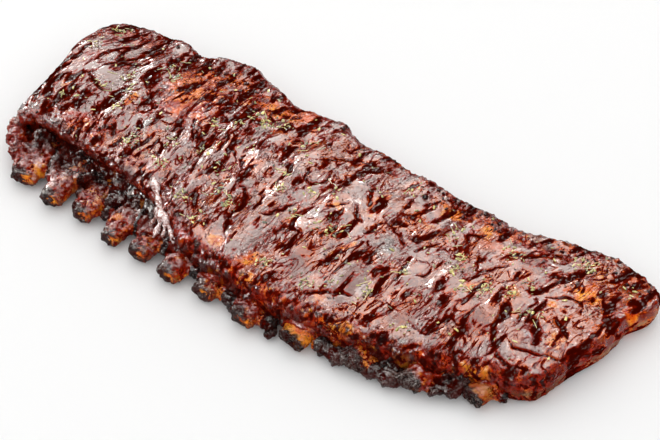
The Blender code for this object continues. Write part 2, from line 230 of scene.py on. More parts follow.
# Bare places with little glaze over browned fat: x, y, half length, half width (mm), angle, warmth.
AMBER_PLACES = (
    (-104, 67, 9, 3.5, 110, 1.0), (-144, 10, 11, 3.6, 98, 1.0), (-192, 3, 8, 5, 100, 0.7),
    (-61, 56, 7, 7, 90, 0.8), (-47, 56, 7, 4, 110, 0.6), (-116, 38, 16, 12, 100, 0.45),
    (-90, 50, 8, 20, 100, 0.35), (-22, -60, 5, 7, 100, 0.7), (4, -60, 9, 5, 80, 1.0),
    (42, 20, 16, 4.6, 92, 0.85), (24, 2, 3, 5, 70, 0.7), (46, -26, 11, 2.6, 62, 0.9), (86, 41, 6, 13, 95, 1.0),
    (109, 36, 7, 6, 110, 0.9), (125, -9, 7, 5, 80, 0.65), (170, 5, 3, 4, 80, 0.9), (182, 25, 8, 9, 85, 1.0),
    (181, 46, 8, 5, 90, 0.5), (208, 29, 6, 5, 90, 1.0), (184, -18, 7, 6, 80, 0.6),
    (-110, -20, 14, 26, 90, 0.12), (55, -64, 4, 6, 80, 0.6), (76, -73, 9, 6, 0, 1.0), (13, -72, 12, 4, 0, 1.0),
    (120, -72, 10, 5, 0, 0.7), (157, -58, 8, 5, 30, 1.0), (78, 20, 6, 4, 60, 0.5), (-156, -24, 6, 6, 110, 0.3),
    (-175, -18, 6, 5, 110, 0.35), (147, 3, 3, 5, 70, 0.5),
)
# Places with a grainy, stringy surface: x, y, half length, half width (mm), angle, strength.
STRINGY_PLACES = (
    (-112, 38, 34, 34, 100, 0.9), (-150, -24, 30, 14, 10, 0.9), (-100, -34, 34, 12, 10, 0.55),
    (-70, 55, 26, 16, 160, 0.8), (-40, 60, 16, 12, 160, 0.7), (-185, 66, 26, 10, 15, 0.6),
    (110, 44, 46, 8, 0, 0.9), (190, 56, 30, 6, 0, 0.5), (120, 30, 20, 8, 0, 0.4), (180, -48, 18, 10, 0, 0.4),
    (-200, 20, 8, 40, 0, 0.3), (-45, 0, 14, 14, 90, 0.35),
)
# Warmer, thinner glaze: x, y, half length, half width (mm), angle, strength.
ORANGE_PLACES = (
    (-112, 42, 26, 20, 100, 0.8), (-92, 62, 16, 12, 120, 0.8), (-62, 58, 14, 12, 100, 1.0),
    (-50, 60, 14, 10, 160, 0.8), (4, -62, 14, 8, 70, 0.8), (180, 27, 12, 10, 85, 0.9),
)
# Scorched places: x, y, half length, half width (mm), angle, strength.
CHAR_PLACES = (
    (66, -11, 11, 7, 80, 0.75), (-122, -6, 7, 6, 60, 0.8), (146, -66, 8, 10, 90, 1.0),
    (101, -78, 16, 10, 0, 0.85), (46, -82, 10, 8, 0, 0.6), (-160, -36, 30, 6, 165, 0.5),
    (-110, -44, 40, 5, 0, 0.6), (115, -70, 12, 8, 0, 0.7), (172, -66, 10, 8, 0, 0.4), (-170, -12, 9, 6, 0, 0.4),
    (140, 48, 12, 6, 0, 0.5), (100, 50, 20, 3, 0, 0.5),
)
# Chopped herb: x, y, spread (mm), flakes.
HERB_PLACES = (
    (-200, 67, 6, 26), (-162, 28, 5, 18), (-118, -20, 6, 30), (-133, 44, 5, 14), (-168, 13, 4, 9),
    (-148, -1, 4, 9), (-62, 42, 9, 30), (-50, 45, 8, 20), (-44, -28, 4, 18), (-33, -33, 5, 22),
    (-62, -42, 6, 16), (-42, -56, 6, 14), (12, -60, 5, 22), (40, -58, 5, 12), (32, -16, 6, 18),
    (76, -44, 5, 16), (108, 8, 4, 12), (109, -2, 4, 16), (107, -58, 7, 24), (134, -7, 4, 18), (145, 0, 4, 14),
    (168, 48, 8, 26), (132, 28, 8, 18), (3, 4, 3, 8), (15, 12, 5, 8), (-88, -28, 5, 12), (-76, -2, 5, 10),
    (-96, -12, 5, 8), (-140, 52, 7, 8), (-203, 44, 4, 8), (-85, 22, 5, 12), (-72, 30, 5, 10), (55, 44, 6, 8),
    (94, 20, 4, 8), (85, -22, 5, 12), (120, -12, 5, 12), (164, -6, 4, 8), (150, 12, 7, 10), (55, -52, 6, 12),
    (200, 44, 5, 8), (-20, 8, 5, 8), (-15, -6, 5, 8), (4, -16, 4, 8), (-58, -12, 6, 8), (95, 28, 3, 10),
    (160, -10, 4, 6), (24, -22, 4, 6), (-186, -8, 5, 6), (-150, 16, 4, 8), (-25, 40, 6, 6),
)
# Scorched crumbs: middle x, y, reach in X and Y, smallest and largest half size (mm), count.
CRUMB_PLACES = (
    (0, 5, 205, 65, 0.25, 0.8, 240), (110, 47, 50, 7, 0.6, 2.6, 90), (70, 54, 6, 4, 0.8, 2.8, 14),
    (-120, 72, 90, 6, 0.4, 1.8, 60), (190, 50, 25, 6, 0.5, 2.0, 30), (-170, -25, 35, 12, 0.4, 1.5, 60),
    (60, -66, 60, 8, 0.4, 1.6, 50), (-13, 69, 6, 4, 0.8, 2.4, 12),
)
# Strands of sauce, painted pale as a painted highlight of their gloss: width (mm), then the points they hang through
# (mm).
STRANDS = (
    (4.6, (-84, -41, 27.5), (-80, -45, 26.8), (-76, -48.5, 25.9), (-70.5, -54, 24.6), (-64.5, -58.5, 22.6)),
    (4.6, (-66, -57, 23.0), (-63, -62, 19.4), (-62, -67, 15.5), (-61.5, -72, 13.5)),
    (4.2, (-66, -57, 23.0), (-58, -62, 20.8), (-52, -66, 18.2), (-46, -71, 16.5)),
    (3.4, (-70, -54, 24.4), (-68, -60, 19), (-69, -66, 14)),
    (3.0, (-60, -60, 21.4), (-57, -66, 17.5), (-56, -70, 15.5)),
)

# Studio: the floor in mm, the camera's turn and height in degrees, the point it looks at in m.
FLOOR_REACH = 3000.0
FLOOR_HEIGHT = -0.4
CAMERA_ANGLES = (34.0, 44.0)
CAMERA_AIM = (0.0181, 0.0023, 0.012)
SENSOR_WIDTH = 36.0
BACKGROUND = (0.92, 0.92, 0.92)
# Places of the large lights (m). The front one is smaller and, for its area, brighter than the key.
KEY_PLACE = (-1.42, 2.12, 2.40)
FRONT_PLACE = (1.3, -2.2, 1.5)
FRONT_SIZE = (2.4, 1.8)
FRONT_SHARE = 1.9
SHEEN_PLACE = (-1.38, 2.06, 2.33)
SHEEN_TINT = (0.985, 0.95, 0.905)
# Lights seen only in the gloss: name, place (m), width, height (m), brightness.
GLINT_LIGHTS = (
    ("overhead", (0.0, 0.25, 3.2), 2.9, 2.4, 6.4),
    ("right_panel", (0.75, 2.3, 2.9), 1.9, 2.2, 8.0),
    ("left_glow", (-3.0, 0.3, 0.5), 1.5, 0.7, 26.0),
    ("left_strip", (-2.4, -0.5, 1.5), 0.7, 1.8, 22.0),
    ("low_left", (-2.9, 1.5, 0.5), 1.4, 0.7, 22.0),
    ("front_strip", (-1.4, -2.3, 2.0), 1.6, 0.3, 110.0),
    ("left_spot", (-2.3, 1.97, 1.32), 0.17, 0.17, 130.0),
    ("low_spot", (-2.75, 1.25, 1.25), 0.16, 0.16, 120.0),
    ("upper_spot", (-2.1, 1.0, 2.4), 0.15, 0.15, 120.0),
    ("right_spot", (0.0, 1.97, 2.65), 0.13, 0.13, 110.0),
    ("high_spot", (-1.3, 0.25, 2.9), 0.13, 0.13, 130.0),
    ("far_spot", (-1.33, 2.81, 1.10), 0.13, 0.13, 90.0),
    ("back_strip", (-2.9, 1.2, 1.2), 0.15, 1.4, 40.0),
    ("right_strip", (1.0, 2.7, 1.5), 0.15, 1.6, 40.0),
)


def eased(values, at):
    """The evenly numbered values, joined by a smooth curve (Catmull-Rom) and read at the given numbers."""
    values = np.asarray(values, float)
    at = np.asarray(at, float)
    low = np.clip(np.floor(at).astype(int), 0, len(values) - 2)
    t = (at - low).reshape(at.shape + (1,) * (values.ndim - 1))
    padded = np.concatenate([2 * values[:1] - values[1:2], values, 2 * values[-1:] - values[-2:-1]])
    a, b, c, d = (padded[low + k] for k in range(4))
    return b + 0.5 * ((c - a) * t + (2 * a - 5 * b + 4 * c - d) * t ** 2 + (3 * b - a - 3 * c + d) * t ** 3)


def smooth_path(points, samples_per_span=16):
    """A smooth curve through the points, as a function of 0..1 of its length."""
    points = np.asarray(points, float)
    curve = eased(points, np.linspace(0, len(points) - 1, (len(points) - 1) * samples_per_span + 1))
    length = np.concatenate([[0.0], np.cumsum(np.linalg.norm(np.diff(curve, axis=0), axis=1))])
    length /= length[-1]

    def at(share):
        share = np.asarray(share, float)
        return np.stack([np.interp(share, length, curve[:, i]) for i in range(curve.shape[1])], axis=-1)

    return at


def smoothstep(low, high, value):
    t = np.clip((value - low) / (high - low), 0.0, 1.0)
    return t * t * (3.0 - 2.0 * t)


def mix(a, b, share):
    return a + (b - a) * share


def noise(points, seed):
    """Smooth gradient noise of about -1 to 1 at the points, with features about one unit apart."""
    rng = np.random.default_rng(seed)
    table = rng.permutation(256)
    slopes = rng.normal(size=(256, 3))
    slopes /= np.linalg.norm(slopes, axis=1)[:, None]
    cell = np.floor(points).astype(int)
    inside = points - cell
    fade = inside ** 3 * (inside * (inside * 6 - 15) + 10)
    total = np.zeros(len(points))
    for dx in (0, 1):
        first = table[(cell[:, 0] + dx) & 255]
        wx = fade[:, 0] if dx else 1 - fade[:, 0]
        for dy in (0, 1):
            second = table[(first + cell[:, 1] + dy) & 255]
            wy = fade[:, 1] if dy else 1 - fade[:, 1]
            for dz in (0, 1):
                slope = slopes[table[(second + cell[:, 2] + dz) & 255]]
                wz = fade[:, 2] if dz else 1 - fade[:, 2]
                total += wx * wy * wz * ((inside - (dx, dy, dz)) * slope).sum(axis=1)
    return 1.6 * total


def layered(points, seed, layers=3):
    """Noise with finer layers of half the size and strength."""
    return sum(noise(points * 2 ** k + 17.3 * k, seed + k) / 2 ** k for k in range(layers))


class Slab:
    """The slab's shape: a patch spanned by its four edges, with a top, sides and underside."""

    def __init__(self):
        shift = np.array(PLAN_SHIFT)
        self.near, self.far, self.left, self.right = [
            smooth_path(np.array(edge) + shift) for edge in (NEAR_EDGE, FAR_EDGE, LEFT_EDGE, RIGHT_EDGE)
        ]
        self.length = float(np.ptp([p[0] for p in FAR_EDGE]))
        self.width = float(np.mean([p[1] for p in FAR_EDGE]) - np.mean([p[1] for p in NEAR_EDGE]))
        share = np.linspace(0.0, 1.0, 2001)
        near_x = self.near(share)[:, 0]
        self.rib_shares = [float(np.interp(x + PLAN_SHIFT[0], near_x, share)) for x, _, _ in RIBS]
        # side rows spaced evenly down the profile
        down = np.hypot(*np.diff(np.array(SLOPED_SIDE) * (1, RIM_HEIGHT), axis=0).T)
        down = np.concatenate([[0.0], np.cumsum(down)])
        rows = np.interp(np.linspace(0, down[-1], SIDE_ROWS + 1), down, np.arange(len(down)))
        self.round, self.sloped, self.stepped = [
            eased(side, rows) for side in (ROUND_SIDE, SLOPED_SIDE, STEPPED_SIDE)
        ]

    def plan(self, u, v):
        """Plan position: u runs along the rack, v across it from the near edge; both 0..1."""
        u, v = np.broadcast_arrays(np.asarray(u, float), np.asarray(v, float))
        a, b = u[..., None], v[..., None]
        corners = [self.near(0.0), self.near(1.0), self.far(0.0), self.far(1.0)]
        ruled = (1 - b) * self.near(u) + b * self.far(u) + (1 - a) * self.left(v) + a * self.right(v)
        bilinear = (1 - b) * ((1 - a) * corners[0] + a * corners[1])
        return ruled - bilinear - b * ((1 - a) * corners[2] + a * corners[3])

    def rib_wave(self, u):
        """+1 over a rib and -1 midway between two."""
        return np.cos(2 * np.pi * np.interp(u, self.rib_shares, np.arange(len(self.rib_shares))))

    def top_height(self, u, v):
        """Height of the top, with a low swell over every rib."""
        table = np.array(TOP_HEIGHTS)
        along = eased(table, np.asarray(u) * (len(table) - 1))
        column = np.asarray(v) * (table.shape[1] - 1)
        index = np.clip(np.floor(column).astype(int), 0, table.shape[1] - 2)
        t = smoothstep(0.0, 1.0, column - index) * 0.5 + (column - index) * 0.5
        rows = np.arange(len(along))
        return mix(along[rows, index], along[rows, index + 1], t) + TOP_RIB_SWELL * self.rib_wave(u)

    def profile(self, row, u, v):
        """Near inset (mm) and height share of one side row at perimeter places (u, v)."""
        cut_inset, cut_share = [
            mix(self.stepped[row, k], self.sloped[row, k], smoothstep(STEP_START, STEP_END, u)) for k in (0, 1)
        ]
        off_corner = smoothstep(1.0, 1.0 - CORNER_BLEND, u)
        near_side = off_corner * smoothstep(STEP_WRAP, 0.0, v)
        return mix(self.round[row, 0], cut_inset, off_corner), mix(self.round[row, 1], cut_share, near_side)

    def inset_plan(self, row, u, v):
        """Plan position of (u, v) on the patch shrunk by one side row's insets."""
        near_inset, share = self.profile(row, u, v)
        round_inset = self.round[row, 0]
        lean = LEFT_LEAN * np.clip(2.0 * share - 1.0, 0.0, 1.0) * (1.0 - v) ** 3
        low_v, high_v = near_inset / self.width, 1.0 - round_inset / self.width
        low_u, high_u = (round_inset + lean) / self.length, 1.0 - round_inset / self.length
        return self.plan(low_u + (high_u - low_u) * u, low_v + (high_v - low_v) * v)

    def side_row(self, row, u, v):
        height_share = self.profile(row, u, v)[1]
        return np.column_stack([self.inset_plan(row, u, v), height_share * self.top_height(u, v)])

    def underside(self, u, v):
        """The underside: flat along every rib and hollowed between the ribs."""
        rim = 4.0 * np.minimum(v, 1.0 - v)
        hollow = np.clip(0.5 - 0.5 * self.rib_wave(u), 0.0, 1.0) ** 1.5
        height = UNDER_VALLEY * hollow * np.clip(rim, 0.0, 1.0)
        return np.column_stack([self.inset_plan(SIDE_ROWS, u, v), height])

    def rib_axis(self, number, inner_share, reach, count):
        """Points along a rib from inside the meat to its bare end."""
        u = self.rib_shares[number]
        outward = self.plan(u, 0.0) - self.plan(u, 0.3)
        outward /= np.linalg.norm(outward)
        ends = [self.plan(u, inner_share), self.plan(u, 0.0) + outward * reach]
        flat = mix(ends[0], ends[1], np.linspace(0, 1, count)[:, None])
        return np.column_stack([flat, np.full(count, RIB_AXIS_HEIGHT)])


SLAB = Slab()


# ---------------------------------------------------------------- meshes

def vertex_normals(points, blocks):
    """Area-weighted normals of points from blocks of faces (one array per face size)."""
    normals = np.zeros_like(points)
    for block in blocks:
        a, b, c = points[block[:, 0]], points[block[:, 1]], points[block[:, 2]]
        d = points[block[:, -1]]
        face = np.cross(b - a, c - a) + np.cross(c - a, d - a)
        for k in range(block.shape[1]):
            np.add.at(normals, block[:, k], face)
    return normals / np.maximum(np.linalg.norm(normals, axis=1), 1e-9)[:, None]


def mesh_object(name, points, blocks, material, masks=None):
    """An object from points (mm) and blocks of faces, with point masks for its material."""
    mesh = bpy.data.meshes.new(name)
    mesh.vertices.add(len(points))
    mesh.vertices.foreach_set("co", (np.asarray(points) * MM).astype(np.float32).ravel())
    corners = np.concatenate([np.ravel(block) for block in blocks]).astype(np.int32)
    sizes = np.concatenate([np.full(len(block), block.shape[1]) for block in blocks])
    starts = np.concatenate([[0], np.cumsum(sizes)[:-1]]).astype(np.int32)
    mesh.loops.add(len(corners))
    mesh.loops.foreach_set("vertex_index", corners)
    mesh.polygons.add(len(sizes))
    mesh.polygons.foreach_set("loop_start", starts)
    mesh.polygons.foreach_set("use_smooth", np.ones(len(sizes), bool))
    mesh.update(calc_edges=True)
    masks = {"flow": points, **(masks or {})}
    for mask, values in masks.items():
        values = np.asarray(values, np.float32)
        if values.ndim == 2:
            layer = mesh.attributes.new(mask, "FLOAT_VECTOR", "POINT")
            layer.data.foreach_set("vector", (values * MM).ravel())
        else:
            layer = mesh.attributes.new(mask, "FLOAT", "POINT")
            layer.data.foreach_set("value", values)
    if material:
        mesh.materials.append(material)
    obj = bpy.data.objects.new(name, mesh)
    bpy.context.scene.collection.objects.link(obj)
    return obj


def grid_faces(rows, columns, start=0, closed=False):
    """Quads between rows of points; a closed grid joins its last column to its first."""
    index = start + np.arange(rows * columns).reshape(rows, columns)
    if closed:
        index = np.column_stack([index, index[:, 0]])
    return np.stack([index[:-1, :-1], index[:-1, 1:], index[1:, 1:], index[1:, :-1]], axis=-1).reshape(-1, 4)


def ring_caps(rings, sides):
    """Fans from the two points that follow a stack of rings to its first and last ring."""
    ring = np.arange(sides)
    after = (ring + 1) % sides
    first, low = rings * sides, (rings - 1) * sides
    return np.vstack([
        np.column_stack([np.full(sides, first), ring, after]),
        np.column_stack([np.full(sides, first + 1), low + after, low + ring]),
    ])


def joined(pieces):
    """One set of points, face blocks and masks from several (points, blocks, masks)."""
    points, blocks, masks, start = [], [], {}, 0
    for piece_points, piece_blocks, piece_masks in pieces:
        points.append(piece_points)
        blocks += [np.asarray(block) + start for block in piece_blocks]
        for mask, values in piece_masks.items():
            masks.setdefault(mask, []).append(values)
        start += len(piece_points)
    by_size = {}
    for block in blocks:
        by_size.setdefault(block.shape[1], []).append(block)
    return (
        np.vstack(points),
        [np.vstack(group) for group in by_size.values()],
        {mask: np.concatenate(values) for mask, values in masks.items()},
    )


def tube(path, half_widths, half_heights, sides, squareness=1.0, along=None):
    """A closed tube of oval rings along a path, its ends capped by fans."""
    path = np.asarray(path, float)
    count = len(path)
    along = np.gradient(path, axis=0) if along is None else along
    along /= np.linalg.norm(along, axis=1)[:, None]
    side = np.cross(along, (0.0, 0.0, 1.0))
    side /= np.maximum(np.linalg.norm(side, axis=1), 1e-6)[:, None]
    up = np.cross(side, along)
    angle = np.linspace(0, 2 * np.pi, sides, endpoint=False)
    cos, sin = np.cos(angle), np.sin(angle)
    wide = np.sign(cos) * np.abs(cos) ** squareness
    high = np.sign(sin) * np.abs(sin) ** squareness
    rings = path[:, None] + side[:, None] * (np.asarray(half_widths)[:, None] * wide)[..., None]
    rings = rings + up[:, None] * (np.asarray(half_heights)[:, None] * high)[..., None]
    points = np.vstack([rings.reshape(-1, 3), path[:1], path[-1:]])
    return points, [grid_faces(count, sides, closed=True)[:, ::-1], ring_caps(count, sides)[:, ::-1]]


def ball(rings, sides):
    """A unit ball's points and faces."""
    turn = np.linspace(0, np.pi, rings + 2)[1:-1]
    around = np.linspace(0, 2 * np.pi, sides, endpoint=False)
    body = np.stack([
        np.sin(turn)[:, None] * np.cos(around),
        np.sin(turn)[:, None] * np.sin(around),
        np.repeat(np.cos(turn)[:, None], sides, axis=1),
    ], axis=-1).reshape(-1, 3)
    points = np.vstack([body, (0, 0, 1), (0, 0, -1)])
    return points, [grid_faces(rings, sides, closed=True)[:, ::-1], ring_caps(rings, sides)]


def skinned(points, blocks, pitch, smoothing):
    """One outer skin over overlapping closed shapes, with its joins smoothed."""
    rough = mesh_object("skin", points, blocks, None)
    modifier = rough.modifiers.new("skin", "REMESH")
    modifier.mode = "VOXEL"
    modifier.voxel_size = pitch * MM
    mesh = bpy.data.meshes.new_from_object(rough.evaluated_get(bpy.context.evaluated_depsgraph_get()))
    bpy.data.objects.remove(rough)
    points = np.zeros(len(mesh.vertices) * 3, np.float32)
    mesh.vertices.foreach_get("co", points)
    points = points.reshape(-1, 3).astype(float) / MM
    corners = np.zeros(len(mesh.loops), np.int32)
    mesh.loops.foreach_get("vertex_index", corners)
    edges = np.zeros(len(mesh.edges) * 2, np.int32)
    mesh.edges.foreach_get("vertices", edges)
    bpy.data.meshes.remove(mesh)
    a, b = edges.reshape(-1, 2).T
    count = np.bincount(np.concatenate([a, b]), minlength=len(points))[:, None]
    for _ in range(smoothing):
        total = np.zeros_like(points)
        np.add.at(total, a, points[b])
        np.add.at(total, b, points[a])
        points = mix(points, total / np.maximum(count, 1), 0.5)
    return points, [corners.reshape(-1, 4)]


# ---------------------------------------------------------------- the meat's surface

def grid_read(table, x_places, y_places, x, y):
    """Values of a table of rows at X places and columns at Y places, read between them."""
    i = np.interp(x, x_places, np.arange(len(x_places)))
    j = np.interp(y, y_places, np.arange(len(y_places)))
    low_i = np.clip(i.astype(int), 0, len(x_places) - 2)
    low_j = np.clip(j.astype(int), 0, len(y_places) - 2)
    near = mix(table[low_i, low_j], table[low_i + 1, low_j], i - low_i)
    far = mix(table[low_i, low_j + 1], table[low_i + 1, low_j + 1], i - low_i)
    return mix(near, far, j - low_j)


def flow_tables():
    """Two distances (mm) over a plan grid: along the run of the glaze, and across it."""
    x, y = FLOW_X, FLOW_Y
    columns, rows = len(x), len(y)
    number = np.arange(columns * rows).reshape(columns, rows)
    angles = np.radians(np.array(RUN_ANGLES, float))
    starts = np.concatenate([number[:-1].ravel(), number[:, :-1].ravel()])
    ends = np.concatenate([number[1:].ravel(), number[:, 1:].ravel()])
    place = np.stack(np.meshgrid(x, y, indexing="ij"), axis=-1).reshape(-1, 2)
    step = place[ends] - place[starts]
    middle = 0.5 * (place[ends] + place[starts])
    angle = grid_read(angles, RUN_X, RUN_Y, middle[:, 0], middle[:, 1])
    equations = np.zeros((len(starts) + 1, len(place)))
    rows_of = np.arange(len(starts))
    equations[rows_of, ends] = 1.0
    equations[rows_of, starts] = -1.0
    equations[-1, 0] = 1.0
    rises = [
        np.append(step[:, 0] * np.cos(angle) + step[:, 1] * np.sin(angle), 0.0),
        np.append(step[:, 0] * np.sin(angle) - step[:, 1] * np.cos(angle), 0.0),
    ]
    solved = np.linalg.lstsq(equations, np.column_stack(rises), rcond=None)[0]
    return solved[:, 0].reshape(columns, rows), solved[:, 1].reshape(columns, rows)


FLOW_X = np.linspace(-225, 225, 46)
FLOW_Y = np.linspace(-100, 100, 21)
FLOW_ALONG, FLOW_ACROSS = flow_tables()


def flow_place(points, stretch=0.34):
    """The points (mm) in coordinates that run with the glaze, shortened along it."""
    along = grid_read(FLOW_ALONG, FLOW_X, FLOW_Y, points[:, 0], points[:, 1])
    across = grid_read(FLOW_ACROSS, FLOW_X, FLOW_Y, points[:, 0], points[:, 1])
    return np.column_stack([along * stretch, across, points[:, 2]])


def warped(points, size, reach, seed):
    """The points pushed about by noise, for torn and folded shapes."""
    shift = np.column_stack([noise(points / size, seed + k) for k in range(3)])
    return points + reach * shift


def patch_mask(points, places, rough, edge=0.45):
    """0..1 inside any of the oval places, with edges broken up by the rough values."""
    mask = np.zeros(len(points))
    for x, y, half_length, half_width, angle, strength in places:
        turn = np.radians(angle)
        offset = points[:, :2] - (x, y)
        along = offset @ (np.cos(turn), np.sin(turn)) / half_length
        across = offset @ (-np.sin(turn), np.cos(turn)) / half_width
        inside = 1.0 - np.hypot(along, across) + 0.55 * rough
        mask = np.maximum(mask, strength * smoothstep(0.0, edge, inside))
    return mask


def glaze_runs(points):
    """How far the listed runs of glaze cut into the surface, 0..1; each is uneven and thins out at its ends."""
    wobble = points[:, :2] + 1.6 * np.column_stack([noise(points / 5.0, 71), noise(points / 5.0, 72)])
    depth = np.zeros(len(points))
    for number, (width, *path) in enumerate(GLAZE_RUNS):
        count = 3 + int(sum(np.linalg.norm(np.diff(path, axis=0), axis=1)))
        share = np.linspace(0, 1, count)
        path = smooth_path(path)(share)
        uneven = 1.0 + 0.55 * noise(np.column_stack([path / 6.0, 0 * share + number]), 73)
        half = 0.52 * width * uneven * (0.15 + np.sqrt(np.sin(np.pi * share).clip(0, 1)))
        reach = path.mean(axis=0), np.ptp(path, axis=0) / 2 + 8
        near = np.flatnonzero((np.abs(wobble - reach[0]) < reach[1]).all(axis=1))
        for place, size in zip(path, half):
            distance = np.linalg.norm(wobble[near] - place, axis=1)
            depth[near] = np.maximum(depth[near], np.exp(-(distance / size) ** 2))
    return depth


def edge_gap(points, edge, sign):
    """How far the points lie inside one long edge of the outline, in Y (mm)."""
    line = edge(np.linspace(0, 1, 300))
    return sign * (points[:, 1] - np.interp(points[:, 0], line[:, 0], line[:, 1]))


def side_gap(points):
    """How far the points lie inside the left end of the outline, in X (mm)."""
    line = SLAB.left(np.linspace(0, 1, 300))
    return points[:, 0] - np.interp(points[:, 1], line[:, 1], line[:, 0])


def surface(points, normals, settings):
    """Displacement along the normals (mm) and the masks of the glazed slab."""
    x, y, z = points.T
    top = smoothstep(0.25, 0.75, normals[:, 2]) * smoothstep(8.0, 16.0, z)
    under = smoothstep(-0.2, -0.7, normals[:, 2])
    side = (1 - top) * (1 - under)
    flow = flow_place(points)
    folded = warped(warped(flow, 7.0, 2.6, 201), 2.6, 0.9, 205)
    rough = layered(points / 5.0, 5)
    broad = noise(points / 30.0, 11)
    rolling = noise(folded / 12.0, 21)
    wider = grid_read(np.array(PLATE_WIDTH), PLATE_X, RUN_Y, x, y)
    plates = mix(noise(folded / 3.8, 31), noise(folded / 6.2, 32), wider) + 0.38 * noise(folded / 2.0, 33)
    seams = noise(folded / 6.0, 35)
    wrinkles = noise(folded / 2.0, 41)
    where = noise(points / 24.0, 51)
    stringy = patch_mask(points, STRINGY_PLACES, rough * 0.8)
    amber = patch_mask(points, AMBER_PLACES, rough * 0.7)
    char = patch_mask(points, CHAR_PLACES, rough)
    runs = glaze_runs(points)

    # flat plates of set glaze, with steep steps between them, narrow seams and valleys
    level = grid_read(np.array(PLATE_LEVEL), PLATE_X, RUN_Y, x, y) + 0.14 * where
    # painted shade: a dark band along the left end of the top, through the crease mask
    left_edge_shade = smoothstep(13.0, 4.0, side_gap(points) + 3.0 * rough) * smoothstep(-30, -10, y)
    low = level - plates
    valley = np.clip(low, 0.0, None)
    seam = np.exp(-(seams / 0.08) ** 2) * smoothstep(-0.1, 0.4, where)

    # the near side under the rim: lumpy, scorched meat between the ribs on the left
    along = np.interp(x, [-205, -60, 10, 60, 190], [1.0, 1.0, 0.75, 0.55, 0.35])
    below = smoothstep(24.0, 16.0, z) * smoothstep(27.0, 18.0, edge_gap(points, SLAB.near, 1)) * (1 - under)
    lumpy = below * along
    lumps = layered(points / 6.5, 61, 3)
    far_rim = smoothstep(13.0, 4.0, edge_gap(points, SLAB.far, -1)) * smoothstep(4.0, 12.0, z)
    crust = smoothstep(-20, 30, x)
    clods = layered(points / 3.4, 145, 2)
    char = np.maximum(char, far_rim * crust * smoothstep(0.0, 0.35, layered(points / 4.0, 147)) * 0.9)
    near_face = smoothstep(13.0, 6.0, edge_gap(points, SLAB.near, 1)) * (1 - under)
    knobs = layered(points / (5.0, 5.0, 4.0), 137, 2)
    stringy = np.maximum(stringy * top, near_face * smoothstep(-0.3, 0.1, noise(points / 6.0, 131)))
    amber = np.maximum(amber, near_face * smoothstep(0.52, 0.68, layered(points / 7.0, 133)) * smoothstep(-60, 0, x))
    char = np.maximum(char, near_face * smoothstep(0.25, 0.5, layered(points / 5.0, 135)) * 0.95)
    near_rim = smoothstep(24.0, 12.0, edge_gap(points, SLAB.near, 1)) * smoothstep(-10, -60, x) * (1 - under)
    orange = patch_mask(points, ORANGE_PLACES, rough)

    height = (
        settings.tilt * (0.50 * broad + 0.75 * rolling) * np.interp(x, [40, 120], [1.0, 0.45]) * top
        + settings.crease_depth * top * (0.10 * plates - 1.7 * valley ** 1.1 - 0.40 * seam - 1.2 * runs)
        + stringy * (0.55 * np.abs(wrinkles) + 0.24 * layered(points / 1.9, 81, 2))
        - 0.35 * amber * top + 0.30 * amber * layered(points / 2.2, 83, 2)
        + 0.35 * char * layered(points / 2.0, 85, 2)
        + side * (0.70 * rough + 0.45 * lumps + 0.35 * layered(points / 2.4, 95, 2))
        + lumpy * (1.7 * lumps + 0.5 * layered(points / 2.6, 87, 2))
        + near_rim * (1.2 * layered(points / 4.5, 93, 3) + 0.35 * np.abs(wrinkles))
        + far_rim * (0.9 * layered(points / 4.2, 91, 3) + 1.2 * crust * np.maximum(clods, 0))
        + near_face * 1.1 * knobs
        + 0.10 * noise(points / 1.6, 89) * mix(0.35, 1.0, side)
    )
    height = height * mix(1.0, 0.15, under)
    masks = {
        # crease darkens the glaze: thick glaze in valleys, runs and seams, with painted shade in the valleys, between
        # the knobs of the near face and along the left end
        "crease": np.clip(np.maximum.reduce([
            0.56 + 1.2 * low, 0.9 * runs + 0.1, 0.62 * seam, near_face * (0.40 - 0.9 * knobs),
        ]) - 0.25 * lumpy + 0.35 * left_edge_shade, 0, 1),
        "amber": amber,
        "char": np.clip(np.maximum(char, lumpy * smoothstep(-0.9, 0.2, lumps + 0.5 * rough) * 0.95), 0, 1),
        "stringy": np.maximum(stringy, orange * top * smoothstep(-0.35, 0.05, noise(folded / 4.5, 57))),
        "side": side,
        "tone": 0.5 + 0.45 * noise(points / 16.0, 55) + 0.5 * orange
        + np.interp(x, [-200, -80, 60], [-0.45, -0.10, 0.10]) - 0.45 * near_face,
        "calm": np.interp(x, [-60, 70], [0.15, 1.0]) * (1 - stringy) * (1 - near_face),
        "under": under,
        "flow": flow,
    }
    return height, masks


